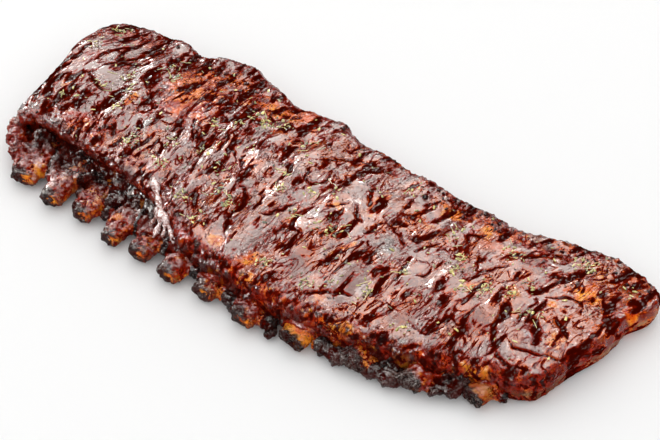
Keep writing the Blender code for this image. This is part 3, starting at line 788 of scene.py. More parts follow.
def slab_mesh(settings):
    """The displaced slab: fine top grid, side rows and a coarser underside in one skin."""
    columns = np.linspace(0.0, 1.0, COLUMNS)
    rows = np.linspace(0.0, 1.0, ROWS)
    grid_u, grid_v = [g.ravel() for g in np.meshgrid(columns, rows)]
    top = np.column_stack([SLAB.inset_plan(0, grid_u, grid_v), SLAB.top_height(grid_u, grid_v)])
    index = np.arange(ROWS * COLUMNS).reshape(ROWS, COLUMNS)
    rim = np.concatenate([index[0, :-1], index[:-1, -1], index[-1, :0:-1], index[:0:-1, 0]])
    ring_u, ring_v = grid_u[rim], grid_v[rim]
    sides = [SLAB.side_row(k, ring_u, ring_v) for k in range(1, SIDE_ROWS)]
    sides.append(SLAB.underside(ring_u, ring_v))
    ring_size = len(rim)
    side_start = len(top)
    ring_index = np.vstack([rim, side_start + np.arange(SIDE_ROWS * ring_size).reshape(SIDE_ROWS, ring_size)])
    ring_index = np.column_stack([ring_index, ring_index[:, 0]])
    side_faces = np.stack(
        [ring_index[:-1, :-1], ring_index[1:, :-1], ring_index[1:, 1:], ring_index[:-1, 1:]], axis=-1
    ).reshape(-1, 4)

    # underside: its outer points are the last ring's, its inner ones every UNDER_STEP
    lowest = np.full((ROWS, COLUMNS), -1)
    lowest.ravel()[rim] = ring_index[-1, :-1]
    inner_rows = np.arange(UNDER_STEP, ROWS - 1, UNDER_STEP)
    inner_columns = np.arange(UNDER_STEP, COLUMNS - 1, UNDER_STEP)
    under_u, under_v = [g.ravel() for g in np.meshgrid(columns[inner_columns], rows[inner_rows])]
    start = side_start + SIDE_ROWS * ring_size
    lowest[np.ix_(inner_rows, inner_columns)] = start + np.arange(len(under_u)).reshape(len(inner_rows), -1)
    cells = {}
    for j in range(0, ROWS - 1, UNDER_STEP):
        for i in range(0, COLUMNS - 1, UNDER_STEP):
            window = lowest[j:j + UNDER_STEP + 1, i:i + UNDER_STEP + 1]
            loop = np.concatenate([window[0, :-1], window[:-1, -1], window[-1, :0:-1], window[:0:-1, 0]])
            loop = loop[loop >= 0][::-1]
            cells.setdefault(len(loop), []).append(loop)
    points = np.vstack([top, *sides, SLAB.underside(under_u, under_v)])
    top_faces = grid_faces(ROWS, COLUMNS)
    blocks = [top_faces, side_faces] + [np.array(group) for group in cells.values()]
    normals = vertex_normals(points, [top_faces, side_faces])
    inner = slice(start, None)
    normals[inner] = (0.0, 0.0, -1.0)
    height, masks = surface(points, normals, settings)
    points = points + normals * height[:, None]
    points[:, 2] = np.maximum(points[:, 2], 0.0)
    return points, blocks, masks


# ---------------------------------------------------------------- shader groups and materials

class Value:
    """One output of a node; arithmetic on it adds Math nodes to its tree."""

    def __init__(self, tree, socket):
        self.tree, self.socket = tree, socket

    def __add__(self, other):
        return self.tree.math("ADD", self, other)

    def __sub__(self, other):
        return self.tree.math("SUBTRACT", self, other)

    def __rsub__(self, other):
        return self.tree.math("SUBTRACT", other, self)

    def __mul__(self, other):
        return self.tree.math("MULTIPLY", self, other)

    def __abs__(self):
        return self.tree.math("ABSOLUTE", self)

    def most(self, other):
        return self.tree.math("MAXIMUM", self, other)

    def below(self, other):
        return self.tree.math("LESS_THAN", self, other)


class Tree:
    """Short ways to add and join nodes in one tree."""

    def __init__(self, tree):
        self.nodes, self.links, self.count = tree.nodes, tree.links, 0

    def put(self, socket, value):
        """Link a value into a socket, or set the socket to a plain number or colour."""
        if isinstance(value, Value):
            self.links.new(value.socket, socket)
        elif socket.type == "RGBA":
            socket.default_value = (*value[:3], 1.0)
        else:
            socket.default_value = value

    def add(self, kind, values=None, output=0, **settings):
        """A new node; gives one output, or all of them by name when output is None."""
        node = self.nodes.new(kind)
        node.location = (220 * (self.count % 12), -260 * (self.count // 12))
        self.count += 1
        for key, value in settings.items():
            setattr(node, key, value)
        for key, value in (values or {}).items():
            self.put(node.inputs[key], value)
        if output is None:
            return {socket.name: Value(self, socket) for socket in node.outputs}
        return Value(self, node.outputs[output])

    def math(self, operation, a, b=0.0, clamp=False):
        return self.add("ShaderNodeMath", {0: a, 1: b}, operation=operation, use_clamp=clamp)

    def remap(self, value, low, high, to_low=0.0, to_high=1.0):
        values = {"Value": value, "From Min": low, "From Max": high, "To Min": to_low, "To Max": to_high}
        return self.add("ShaderNodeMapRange", values, interpolation_type="SMOOTHSTEP")

    def blend(self, share, a, b):
        return self.add("ShaderNodeMix", {0: share, 6: a, 7: b}, 2, data_type="RGBA", clamp_factor=True)

    def noise(self, scale, place, detail=2.0, roughness=0.5, distortion=0.0, output=0):
        values = {"Vector": place, "Scale": scale, "Detail": detail, "Roughness": roughness, "Distortion": distortion}
        return self.add("ShaderNodeTexNoise", values, output)

    def dots(self, scale, place):
        return self.add("ShaderNodeTexVoronoi", {"Vector": place, "Scale": scale}, "Distance")

    def mask(self, name, output="Fac"):
        return self.add("ShaderNodeAttribute", output=output, attribute_name=name)

    def place(self):
        return self.add("ShaderNodeTexCoord", output="Object")


def new_group(name, inputs, outputs):
    """An empty node group, its tree and its inputs. An input without a default is a vector."""
    group = bpy.data.node_groups.new(name, "ShaderNodeTree")
    for socket_name, default in inputs.items():
        kind = "NodeSocketVector" if default is None else "NodeSocketFloat"
        socket = group.interface.new_socket(socket_name, in_out="INPUT", socket_type=kind)
        if default is not None:
            socket.default_value = default
    for socket_name in outputs:
        kind = "NodeSocketColor" if socket_name == "Colour" else "NodeSocketFloat"
        group.interface.new_socket(socket_name, in_out="OUTPUT", socket_type=kind)
    t = Tree(group)
    return group, t, t.add("NodeGroupInput", output=None)


def fine_surface_group():
    """Small wrinkles, strings and grit, as one height, with masks of their lines and specks."""
    group, t, given = new_group(
        "Fine surface",
        {"Place": None, "Flow": None, "Wrinkles": 0.5, "Strings": 0.0, "Grit": 0.0, "Speck Amount": 0.5,
         "Crease": 0.0},
        ("Height", "Lines", "Specks", "Mottle", "Grain", "Valley", "Depth", "Sparkle", "Rim"),
    )
    place, flow = given["Place"], given["Flow"]

    # fine lines, where two shades of noise meet; the glaze colour darkens these grooves as darker glaze and painted
    # shade
    wide = t.noise(230.0, flow, distortion=1.4)
    fine = t.noise(520.0, flow, distortion=0.9)
    some = t.remap(t.noise(60.0, place, 1.0), 0.38, 0.52)
    wide_depth = (1.0 - t.remap(abs(wide - 0.5), 0.0, 0.030)) * some
    fine_depth = (1.0 - t.remap(abs(fine - 0.5), 0.0, 0.040)) * 0.25 * some
    depth = wide_depth + fine_depth
    lines = t.math("MULTIPLY", depth * 1.7, given["Wrinkles"], clamp=True)

    # torn valleys: from the mesh's own creases, and from seams that come and go
    seam = t.noise(105.0, flow, 2.5, distortion=1.6)
    torn = t.noise(420.0, flow, 3.0, 0.62, 0.8)
    edge = given["Crease"] + (torn - 0.5) * 0.60
    for field, top, slope, gate_scale in ((seam, 0.72, 7.0, 34.0), (wide, 0.60, 5.0, 60.0)):
        gate = t.remap(t.noise(gate_scale, place, 1.0), 0.43, 0.58, -0.40, 0.0)
        edge = edge.most(abs(field - 0.5) * -slope + top + gate)
    valley = t.remap(edge, 0.48, 0.55)

    grain = t.noise(800.0, place, 3.0, 0.7, 0.4)
    relief = t.noise(330.0, flow, 2.0, 0.6, 0.6) * 0.7 - depth - valley * 0.5
    height = relief * given["Wrinkles"] + t.noise(900.0, flow, 2.0, 0.6, 0.8) * given["Strings"]
    height = height + grain * given["Grit"]

    # specks: two sizes of round dots, shaken out of round
    shaken = t.noise(700.0, place, 1.0, output="Color")
    shaken = t.add("ShaderNodeVectorMath", {0: shaken, "Scale": 0.0032}, operation="SCALE")
    shaken = t.add("ShaderNodeVectorMath", {0: place, 1: shaken}, operation="ADD")
    specks = None
    for scale, where_scale, high, largest in ((420.0, 75.0, 0.68, 0.32), (900.0, 110.0, 0.70, 0.34)):
        size = t.remap(t.noise(where_scale, place, 1.0), 0.44, high, 0.0, largest) * given["Speck Amount"]
        dots = t.dots(scale, shaken).below(size)
        specks = specks.most(dots) if specks else dots

    t.add("NodeGroupOutput", {
        "Height": height, "Lines": lines, "Specks": specks, "Mottle": t.noise(95.0, place, 6.0, 0.72, 0.6),
        "Grain": grain, "Valley": valley, "Depth": t.remap(edge, 0.52, 0.80), "Rim": t.remap(edge, 0.33, 0.46),
        "Sparkle": t.remap(t.noise(640.0, flow, distortion=0.6), 0.58, 0.62),
    }, output=None)
    return group


def glaze_colour_group(settings):
    """Colour, roughness and gloss of glazed meat from its masks."""
    zeros = dict.fromkeys((
        "Valley", "Depth", "Amber", "Char", "Stringy", "Bare", "Specks", "Lines", "Ash", "Steep", "Sparkle", "Rim",
    ), 0.0)
    group, t, given = new_group(
        "Glaze colour", {**zeros, "Mottle": 0.5, "Grain": 0.5, "Tone": 0.5}, ("Colour", "Roughness", "Gloss")
    )
    mottle, grain, amber, ash = (given[name] for name in ("Mottle", "Grain", "Amber", "Ash"))
    char, stringy, bare, specks = (given[name] for name in ("Char", "Stringy", "Bare", "Specks"))
    valley, lines, sparkle = (given[name] for name in ("Valley", "Lines", "Sparkle"))
    deep = settings.deep_glaze_colour

    # the glaze itself, thinner and warmer by its tone
    toned = mottle + (given["Tone"] - 0.5) * 0.30
    light = t.remap(toned, 0.42, 0.66)
    wet_and_shade = t.blend(given["Depth"], settings.wet_glaze_colour, deep)
    base = t.blend(light, settings.glaze_colour, settings.thin_glaze_colour)
    # painted shade: the steeper the surface, the more it takes the darker wet glaze colour
    base = t.blend(given["Steep"] * t.remap(mottle, 0.66, 0.50, 0.35, 1.0), base, wet_and_shade)

    # stringy, bare and fat places
    red = t.blend(t.remap(toned, 0.38, 0.54), settings.red_colour, settings.orange_colour)
    base = t.blend(t.math("MULTIPLY", stringy, t.remap(mottle, 0.34, 0.6), clamp=True), base, red)
    base = t.blend(bare, base, t.blend(light, settings.bare_dark_colour, settings.bare_light_colour))
    gold = t.blend(t.remap(mottle, 0.4, 0.62), settings.orange_colour, settings.amber_colour)
    base = t.blend(amber * t.remap(mottle, 0.28, 0.5, 0.55, 1.0), base, gold)

    # valleys with a glowing rim, dark lines, char and specks; the dark valleys and lines are thick glaze with painted
    # shade
    rim = given["Rim"] * t.remap(grain, 0.42, 0.54)
    base = t.blend(rim, base, t.blend(t.remap(light, 0.2, 0.9), settings.red_colour, settings.orange_colour))
    base = t.blend(valley, base, wet_and_shade)
    base = t.blend(lines, base, deep)
    burnt = t.blend(t.remap(mottle, 0.35, 0.6), settings.char_colour, deep)
    grey = t.blend(t.remap(grain, 0.46, 0.62), settings.char_colour, settings.ash_colour)
    grey = t.blend(t.remap(mottle, 0.44, 0.60, 0.0, 0.85), grey, deep)
    base = t.blend(char, base, t.blend(ash, burnt, grey))
    base = t.blend(specks, base, deep)

    roughness = stringy * 0.08 + 0.22 + char * 0.05 + ash * 0.25 + bare * 0.18
    roughness = t.math("ADD", roughness, specks * 0.3, clamp=True)

    # the wet coat is missing from valleys, lines, rims, specks and most of the stringy places
    dull = (valley * (1.0 - sparkle)).most(lines * 0.9).most(rim * 0.85)
    matte = amber.most(stringy) * t.remap(grain, 0.60, 0.51, 0.0, 0.92) * (1.0 - sparkle)
    gloss = (1.0 - dull.most(matte).most(specks)) * t.remap(grain, 0.36, 0.48, 0.5, 1.0)
    gloss = gloss * (1.0 - ash * 0.5) * (1.0 - bare * 0.7)
    t.add("NodeGroupOutput", {"Colour": base, "Roughness": roughness, "Gloss": gloss}, output=None)
    return group


def shared_groups(settings):
    """The two groups, built on the first call."""
    names = ("Fine surface", "Glaze colour")
    if any(name not in bpy.data.node_groups for name in names):
        fine_surface_group()
        glaze_colour_group(settings)
    return [bpy.data.node_groups[name] for name in names]


def new_material(name):
    """A material, its tree and its shader's inputs."""
    material = bpy.data.materials.new(name)
    material.use_nodes = True
    return material, Tree(material.node_tree), material.node_tree.nodes["Principled BSDF"].inputs


def finish(t, shader, colour, roughness, height, strength, distance, specular=0.5):
    """Put the surface's colour, roughness and bump into the shader."""
    bump = t.add("ShaderNodeBump", {"Height": height, "Strength": strength, "Distance": distance}, "Normal")
    shader["Specular IOR Level"].default_value = specular
    for key, value in (("Base Color", colour), ("Roughness", roughness), ("Normal", bump)):
        t.put(shader[key], value)
    if shader["Coat Weight"].is_linked:
        t.put(shader["Coat Normal"], bump)


def glazed_material(name, settings, wrinkles=0.6, grit=0.0):
    """Glazed meat: masks on the mesh choose between deep glaze, thin glaze, bare, amber and char; the deep glaze is
    partly painted shade, and slopes get painted shade by their tilt.
    """
    fine, colours = shared_groups(settings)
    material, t, shader = new_material(name)
    masks = {key: t.mask(key) for key in MASKS}
    small = t.add("ShaderNodeGroup", {
        "Place": t.place(), "Flow": t.mask("flow", "Vector"), "Crease": masks["crease"],
        "Strings": masks["stringy"] * 0.5 + masks["amber"] * 0.35,
        "Grit": masks["char"] * 0.10 + masks["side"] * 0.20 + masks["ash"] * 0.3 + grit,
        "Wrinkles": (1.0 - masks["calm"] * 0.65) * wrinkles, "Speck Amount": SPECK_AMOUNT,
    }, None, node_tree=fine)
    height = small.pop("Height")
    chosen = {key.title(): masks[key] for key in ("amber", "char", "ash", "stringy", "steep", "tone", "bare")}
    look = t.add("ShaderNodeGroup", {**chosen, **small}, None, node_tree=colours)
    t.put(shader["Coat Weight"], look["Gloss"])
    shader["Coat Roughness"].default_value = COAT_ROUGHNESS
    finish(t, shader, look["Colour"], look["Roughness"], height, 0.8, GLAZE_BUMP, specular=0.0)
    return material


def sauce_material(name, settings):
    """Set sauce with darker streaks, painted pale between them as a painted highlight of its gloss."""
    material, t, shader = new_material(name)
    streaks = t.noise(420.0, t.place(), 3.0, distortion=0.8)
    # the pale colour is a painted highlight: it stands in for the glare on the glossy strand
    colour = t.blend(t.remap(streaks, 0.42, 0.62), settings.sauce_dark, settings.sauce_highlight)
    finish(t, shader, colour, t.remap(streaks, 0.3, 0.7, 0.10, 0.22), streaks, 0.7, SAUCE_BUMP)
    return material


def herb_material(name, low, middle, high, roughness):
    """Dry herb: each flake has its own shade, with darker veins."""
    material, t, shader = new_material(name)
    shade = t.mask("shade")
    veins = t.noise(1500.0, t.place())
    colour = t.blend(t.remap(shade, 0.0, 0.5), low, middle)
    colour = t.blend(t.remap(shade, 0.5, 1.0), colour, high)
    colour = t.blend(t.remap(veins, 0.5, 0.75, 0.0, 0.6), colour, low)
    finish(t, shader, colour, t.remap(veins, 0.3, 0.7, roughness - 0.1, roughness + 0.1), veins, 0.6, HERB_BUMP)
    return material


# ---------------------------------------------------------------- settings

def colour_property(name, description, default):
    return bpy.props.FloatVectorProperty(
        name=name, description=description, default=default, subtype="COLOR", size=3, min=0.0, max=1.0
    )


def number_property(name, description, default, unit="NONE", low=0.0):
    return bpy.props.FloatProperty(name=name, description=description, default=default, unit=unit, min=low)


class RackSettings(bpy.types.PropertyGroup):
    """Sizes and colours of the rack."""

    tilt: number_property("Unevenness", "Height of the rolling of the top surface, in millimetres", 0.8)
    crease_depth: number_property("Crease depth", "Depth of the creases that glaze runs in, in millimetres", 1.0)
    flake_size: number_property("Herb flake", "Usual length of a herb flake", 0.0024, "LENGTH")
    stalk_length: number_property("Herb stalk", "Usual length of a herb stalk", 0.0055, "LENGTH")
    glaze_colour: colour_property("Glaze", "Glaze over dark meat", (0.110, 0.0068, 0.0010))
    thin_glaze_colour: colour_property("Thin glaze", "Thin glaze over lighter meat", (0.34, 0.052, 0.005))
    # The wet glaze colour is partly painted shade: besides the edges of creases, it darkens slopes by their tilt.
    wet_glaze_colour: colour_property("Wet glaze", "Glaze at the edges of creases", (0.150, 0.0048, 0.0008))
    # The deep glaze colour is partly painted shade: it darkens valleys, creases and fine lines besides the thick
    # glaze in them.
    deep_glaze_colour: colour_property("Deep glaze", "Thick glaze in creases", (0.038, 0.0012, 0.0002))
    red_colour: colour_property("Red meat", "Glaze over stringy lean meat", (0.40, 0.016, 0.003))
    orange_colour: colour_property("Orange", "Thin glaze over fat", (0.72, 0.105, 0.008))
    amber_colour: colour_property("Amber", "Browned fat and bone skin", (0.90, 0.34, 0.028))
    bare_dark_colour: colour_property("Bare brown", "Bare side of the meat, dark parts", (0.16, 0.05, 0.022))
    bare_light_colour: colour_property("Bare tan", "Bare side of the meat, light parts", (0.42, 0.22, 0.10))
    char_colour: colour_property("Char", "Burnt surface", (0.006, 0.0045, 0.004))
    ash_colour: colour_property("Ash", "Greyed burnt surface", (0.15, 0.125, 0.115))
    sauce_dark: colour_property("Sauce dark", "Streaks in the pale sauce", (0.26, 0.09, 0.07))
    # The pale sauce colour is a painted highlight of the glare on the strand.
    sauce_highlight: colour_property("Sauce pale", "Pale strand of sauce", (0.76, 0.62, 0.60))
    herb_dark: colour_property("Herb dark", "Darkest herb", (0.020, 0.026, 0.004))
    herb_green: colour_property("Herb green", "Usual herb", (0.32, 0.26, 0.020))
    herb_straw: colour_property("Herb straw", "Palest herb", (0.92, 0.76, 0.22))


class StageSettings(bpy.types.PropertyGroup):
    """Floor, light and camera."""

    floor_colour: colour_property("Floor", "Colour of the floor", (0.86, 0.86, 0.86))
    key_brightness: number_property("Key light", "Brightness of the large soft lights", 0.44)
    sheen_brightness: number_property("Sheen", "Brightness of the soft box that shows in the glaze", 9.0)
    fill_level: number_property("Fill", "Brightness of the light from all round", 0.965)
    dark_level: number_property("Dark", "Brightness of the room in reflections", 0.008)
    key_size: number_property("Key size", "Side of the large soft light", 3.1, "LENGTH", 0.1)
    sheen_size: number_property("Sheen size", "Side of the soft box that shows in the glaze", 2.8, "LENGTH", 0.1)
    lens: number_property("Lens", "Focal length of the camera", 85.0, "CAMERA", 10.0)
    distance: number_property("Distance", "Distance of the camera from the rack", 0.96, "LENGTH", 0.1)


# ---------------------------------------------------------------- pieces

def add_piece(name, points, blocks, material, masks=None, node=None):
    """A visible piece riding on the rack; with a node, it stands in for that solid."""
    obj = mesh_object(name, points, blocks, material, masks)
    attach(obj, "root")
    if node:
        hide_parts(node)


def meat_tree():
    """The glazed slab, ready to be looked up from above."""
    mesh = bpy.data.objects["glazed_meat_slab"].data
    points = np.zeros(len(mesh.vertices) * 3, np.float32)
    mesh.vertices.foreach_get("co", points)
    points = points.reshape(-1, 3) / MM
    return BVHTree.FromPolygons(points[:ROWS * COLUMNS].tolist(), grid_faces(ROWS, COLUMNS).tolist())


def on_top(tree, x, y):
    """Point and normal of the meat's top at a plan position, or None beside it."""
    hit, normal, _, _ = tree.ray_cast(Vector((x, y, 60.0)), Vector((0, 0, -1)))
    return (np.array(hit), np.array(normal)) if hit else (None, None)


def empty_masks(count, **values):
    """Every mask of the glazed material, zero unless given."""
    return {key: np.broadcast_to(values.get(key, 0.0), (count,)).astype(float) for key in MASKS}


def unit(vector):
    return vector / np.linalg.norm(vector)


def sleeve_shapes():
    """Tubes round the ribs, balls of meat between them, and the lumps by their ends."""
    rng = np.random.default_rng(SLEEVE_SEED)
    shapes = []
    ball_points, ball_faces = ball(8, 12)
    for number, (_, reach, width) in enumerate(RIBS):
        path = SLAB.rib_axis(number, SLEEVE_START, reach - BARE_LENGTH[number], SLEEVE_RINGS)
        share = np.linspace(0, 1, SLEEVE_RINGS)
        path[:, 2] += 0.5 * np.sin(7 * share + number)
        half = (RIB_HALF_WIDTH * width + SLEEVE_COVER) * (1 + 0.10 * np.sin(11 * share + 2.1 * number))
        tall = (RIB_HALF_HEIGHT + SLEEVE_ROOF) * (1 + 0.12 * np.sin(9 * share + 1.3 * number))
        taper = np.sqrt(np.clip(1.0 - np.clip((share - 0.86) / 0.16, 0, 1) ** 2, 0.05, 1))
        shapes.append((*tube(path, half * taper, tall * taper, SLEEVE_SIDES), {}))
    last = len(RIBS) - 1
    for number in range(-1, last + 1):
        tips = [SLAB.rib_axis(k, 0.2, RIBS[k][1], 2) for k in (max(number, 0), min(number + 1, last))]
        inward = unit(tips[0][0] - tips[0][1])
        for _ in range(BALLS_PER_GAP):
            across = rng.uniform(0.25, 0.75) if 0 <= number < last else rng.uniform(-0.2, 0.2)
            set_back = rng.uniform(12, 28) if number < 6 else rng.uniform(5, 18)
            place = mix(tips[0][1], tips[1][1], across) + inward * set_back
            place[2] = rng.uniform(3.0, 5.0 + 0.42 * set_back)
            size = rng.uniform(2.2, 5.0, 3)
            if place[0] >= SLAB.near(0.0)[0] + 4.0:
                shapes.append((ball_points * size + place, ball_faces, {}))
    for lump in END_LUMPS:
        shapes.append((ball_points * lump[3:] + np.array(lump[:3]), ball_faces, {}))
    return shapes


def beside_ribs(points):
    """How far points lie behind the nearest rib's tip (mm), and -1..1 across that rib."""
    tip, right = np.full(len(points), 1e9), np.zeros(len(points))
    for number, (_, reach, width) in enumerate(RIBS):
        axis = SLAB.rib_axis(number, 0.2, reach, 2)
        outward = unit(axis[1] - axis[0])
        offset = points - axis[1]
        aside = offset @ np.cross(outward, (0, 0, 1))
        near = np.abs(aside) < RIB_HALF_WIDTH * width + 3.5
        tip = np.where(near, np.minimum(tip, -offset @ outward), tip)
        right = np.where(near, np.clip(-aside / (RIB_HALF_WIDTH * width + 3), -1, 1), right)
    return tip, right


class RIBS_OT_meat(bpy.types.Operator):
    """Build the glazed slab of meat"""

    bl_idname = "ribs.meat"
    bl_label = "Glazed Meat"

    def execute(self, context):
        settings = context.scene.rack_settings
        points, blocks, masks = slab_mesh(settings)
        facing = vertex_normals(points, blocks)
        bare_end = smoothstep(0.15, 0.45, facing[:, 0]) * smoothstep(150, 172, points[:, 0])
        bare_end = bare_end * smoothstep(14.0, 9.0, points[:, 2])
        masks["bare"] = np.clip(bare_end + masks.pop("under") * 0.8, 0, 1)
        # painted shade: darker glaze where the surface tilts away from straight up
        masks["steep"] = smoothstep(0.975, 0.91, facing[:, 2])
        masks = {**empty_masks(len(points)), **masks}
        material = glazed_material("glazed_meat", settings)
        add_piece("glazed_meat_slab", points, blocks, material, masks, "meat")
        return {"FINISHED"}


class RIBS_OT_sleeves(bpy.types.Operator):
    """Build the glazed and scorched meat left on and between the ribs at the cut-back edge"""

    bl_idname = "ribs.sleeves"
    bl_label = "Meat On The Ribs"

    def execute(self, context):
        points, blocks, _ = joined(sleeve_shapes())
        points, blocks = skinned(points, blocks, SLEEVE_PITCH, SKIN_SMOOTHING)
        normals = vertex_normals(points, blocks)
        x, _, z = points.T
        lumps = layered(points / 5.0, 101)
        grit = layered(points / 2.1, 103, 2)
        tip, right = beside_ribs(points)
        between = smoothstep(12.0, 30.0, tip)
        points = points + normals * ((1.25 + 0.5 * between) * lumps + (0.5 + 0.3 * between) * grit)[:, None]
        points[:, 2] = np.maximum(points[:, 2], 0.1)
        rough = layered(points / 4.0, 105)
        left = smoothstep(60, -40, x)
        burnt_end = smoothstep(5.0, 2.2, tip + 2.4 * rough + 4.0 * right)
        inner = smoothstep(-192, -176, x)
        char = np.maximum.reduce([
            burnt_end * 0.95 * mix(0.3, 1.0, inner),
            between * smoothstep(-0.9, 0.1, lumps + 0.3) * inner,
            smoothstep(5.0, 1.5, z + 2.0 * rough) * 0.9,
            smoothstep(18, 27, tip) * smoothstep(0.5, 1.0, left + 0.4 * rough) * inner,
            smoothstep(0.2, 0.6, rough) * (1 - inner) * 0.8,
        ])
        amber = smoothstep(0.30, 0.7, layered(points / 6.0, 107) + 0.50 * right) * smoothstep(22.0, 6.0, tip)
        amber = np.maximum(amber, patch_mask(points, SIDE_AMBER, 0.6 * rough))
        # steep paints most of this meat in the darker wet glaze, as painted shade
        masks = empty_masks(
            len(points), char=np.clip(char, 0, 1), ash=burnt_end * mix(0.8, 0.15, left), amber=amber * 0.7,
            crease=np.clip(0.32 - 0.60 * lumps - 0.25 * grit, 0, 1), side=0.3 + 0.7 * between,
            stringy=0.3, steep=0.8,
        )
        material = glazed_material("rib_meat", context.scene.rack_settings, wrinkles=0.5, grit=0.10)
        add_piece("meat_on_ribs", points, blocks, material, masks)
        return {"FINISHED"}


class RIBS_OT_bones(bpy.types.Operator):
    """Build the rib bones with their rough scorched ends"""

    bl_idname = "ribs.bones"
    bl_label = "Rib Bones"

    def execute(self, context):
        material = glazed_material("rib_bone", context.scene.rack_settings, wrinkles=0.6, grit=0.3)
        ring_scale, ring_out = np.array(END_RINGS).T
        for number, (_, reach, width) in enumerate(RIBS):
            path = SLAB.rib_axis(number, BONE_START, reach, BONE_RINGS)
            share = np.linspace(0, 1, BONE_RINGS) ** 0.6
            path = mix(path[:1], path[-1:], share[:, None])
            tip = np.linalg.norm(path - path[-1], axis=1)
            half = RIB_HALF_WIDTH * width * mix(1.0, 0.72, smoothstep(20, 90, tip))
            end_half = half[-1]
            outward = unit(path[-1] - path[0])
            end = path[-1]
            along = np.vstack([np.gradient(path, axis=0), np.tile(outward, (len(END_RINGS), 1))])
            path = np.vstack([path, end + outward * ring_out[:, None]])
            half = np.concatenate([half, end_half * ring_scale])
            tall = (RIB_HALF_HEIGHT + 0.5) * np.concatenate([np.ones(BONE_RINGS), ring_scale])
            points, blocks = tube(path, half, tall, BONE_SIDES, BONE_SQUARENESS, along)
            normals = vertex_normals(points, blocks)
            tip = (end - points) @ outward
            swell = 0.7 * layered(points / 5.0, 111) + 0.45 * layered(points / 1.8, 113, 2)
            swell = swell + 1.1 * smoothstep(4.0, 1.0, tip) * layered(points / 3.6, 117)
            points = points + normals * swell[:, None]

            # masks: a warm core on the cut ends of the left ribs, burnt round it
            right = (points - end) @ np.cross((0, 0, 1), outward) / end_half
            low = (points[:, 2] - end[2]) / (RIB_HALF_HEIGHT + 0.5)
            rough = layered(points / 3.0, 115 + number)
            left_rib = number < LEFT_RIBS
            scraped = BARE_LENGTH[number] > 3
            clean = 1.0 if scraped else 0.6
            tan = BONE_TAN[number]
            core = smoothstep(0.75, 0.35, np.hypot(right - 0.30, low - 0.20) + 0.45 * rough)
            core = core * smoothstep(2.5, 0.5, tip) * left_rib
            burnt = smoothstep(2.8, 0.8, tip + 2.2 * rough + 2.2 * right * (1.5 - clean)) * (1 - core)
            masks = empty_masks(
                len(points), char=burnt, ash=burnt * (0.3 if left_rib else 1.0), bare=tan, side=0.5,
                amber=np.maximum(core, (0.6 + 0.5 * scraped - tan) * clean),
                crease=(0.34 if left_rib else 0.51) + 0.3 * rough - 0.4 * core - 0.41 * scraped,
            )
            name = f"bone_{number + 1:02d}"
            add_piece(name, points, blocks, material, masks, RIB_NODES[number])
        return {"FINISHED"}


class RIBS_OT_herbs(bpy.types.Operator):
    """Scatter chopped herb flakes and stalks over the glaze"""

    bl_idname = "ribs.herbs"
    bl_label = "Chopped Herbs"

    def execute(self, context):
        settings = context.scene.rack_settings
        rng = np.random.default_rng(HERB_SEED)
        tree = meat_tree()
        corner_points, corner_faces = ball(2, 5)
        places = [(x, y, spread) for x, y, spread, count in HERB_PLACES for _ in range(count)]
        places += [(rng.uniform(-200, 200), rng.uniform(-60, 75), 3.0) for _ in range(STRAY_FLAKES)]
        flakes = []
        for x, y, spread in places:
            hit, normal = on_top(tree, *rng.normal((x, y), spread * 0.50))
            turn, tip, size = rng.uniform(0, 2 * np.pi), rng.uniform(0, 1), rng.uniform(0.5, 1.5)
            jitter = rng.uniform(0.7, 1.3, (len(corner_points), 1))
            shade = rng.uniform(0, 1)
            if hit is None or normal[2] < 0.5:
                continue
            length = settings.flake_size / MM * size
            width = rng.uniform(*FLAKE_WIDTHS) * length
            body = corner_points * (FLAKE_REACH * length, width, FLAKE_THICKNESS) * jitter
            body[:, 2] += 0.25 * (body[:, 0] / length) * np.sin(6 * tip)
            axis = unit(np.array((np.cos(turn), np.sin(turn), rng.normal() * 0.5)))
            side = unit(np.cross(normal, axis))
            up = np.cross(axis, side)
            body = hit + body[:, :1] * axis + body[:, 1:2] * side + body[:, 2:] * up + normal * FLAKE_LIFT
            flakes.append((body, corner_faces, {"shade": np.full(len(body), shade)}))
        material = herb_material("herb", settings.herb_dark, settings.herb_green, settings.herb_straw, 0.6)
        points, blocks, masks = joined(flakes)
        add_piece("herb_flakes", points, blocks, material, masks)

        stalks = []
        for _ in range(STALKS):
            x, y, spread, _ = HERB_PLACES[rng.integers(len(HERB_PLACES))]
            hit, normal = on_top(tree, *rng.normal((x, y), spread))
            turn, size, shade = rng.uniform(0, np.pi), rng.uniform(0.5, 1.3), rng.uniform(0.6, 1.0)
            if hit is None:
                continue
            length = settings.stalk_length / MM * size * 0.5
            along = np.array((np.cos(turn), np.sin(turn), 0.0))
            along -= normal * (along @ normal)
            bend = rng.normal(scale=0.5)
            t = np.linspace(-1, 1, STALK_RINGS)[:, None]
            path = hit + normal * STALK_LIFT + along * t * length + normal * bend * 0.3 * (1 - t ** 2)
            thick = np.full(STALK_RINGS, STALK_RADIUS + 0.05 * rng.uniform())
            body, faces = tube(path, thick, thick, STALK_SIDES)
            stalks.append((body, faces, {"shade": np.full(len(body), shade)}))
        material = herb_material("herb_stalk", settings.herb_green, settings.herb_straw, STALK_TIP_COLOUR, 0.45)
        points, blocks, masks = joined(stalks)
        add_piece("herb_stalks", points, blocks, material, masks)
        return {"FINISHED"}


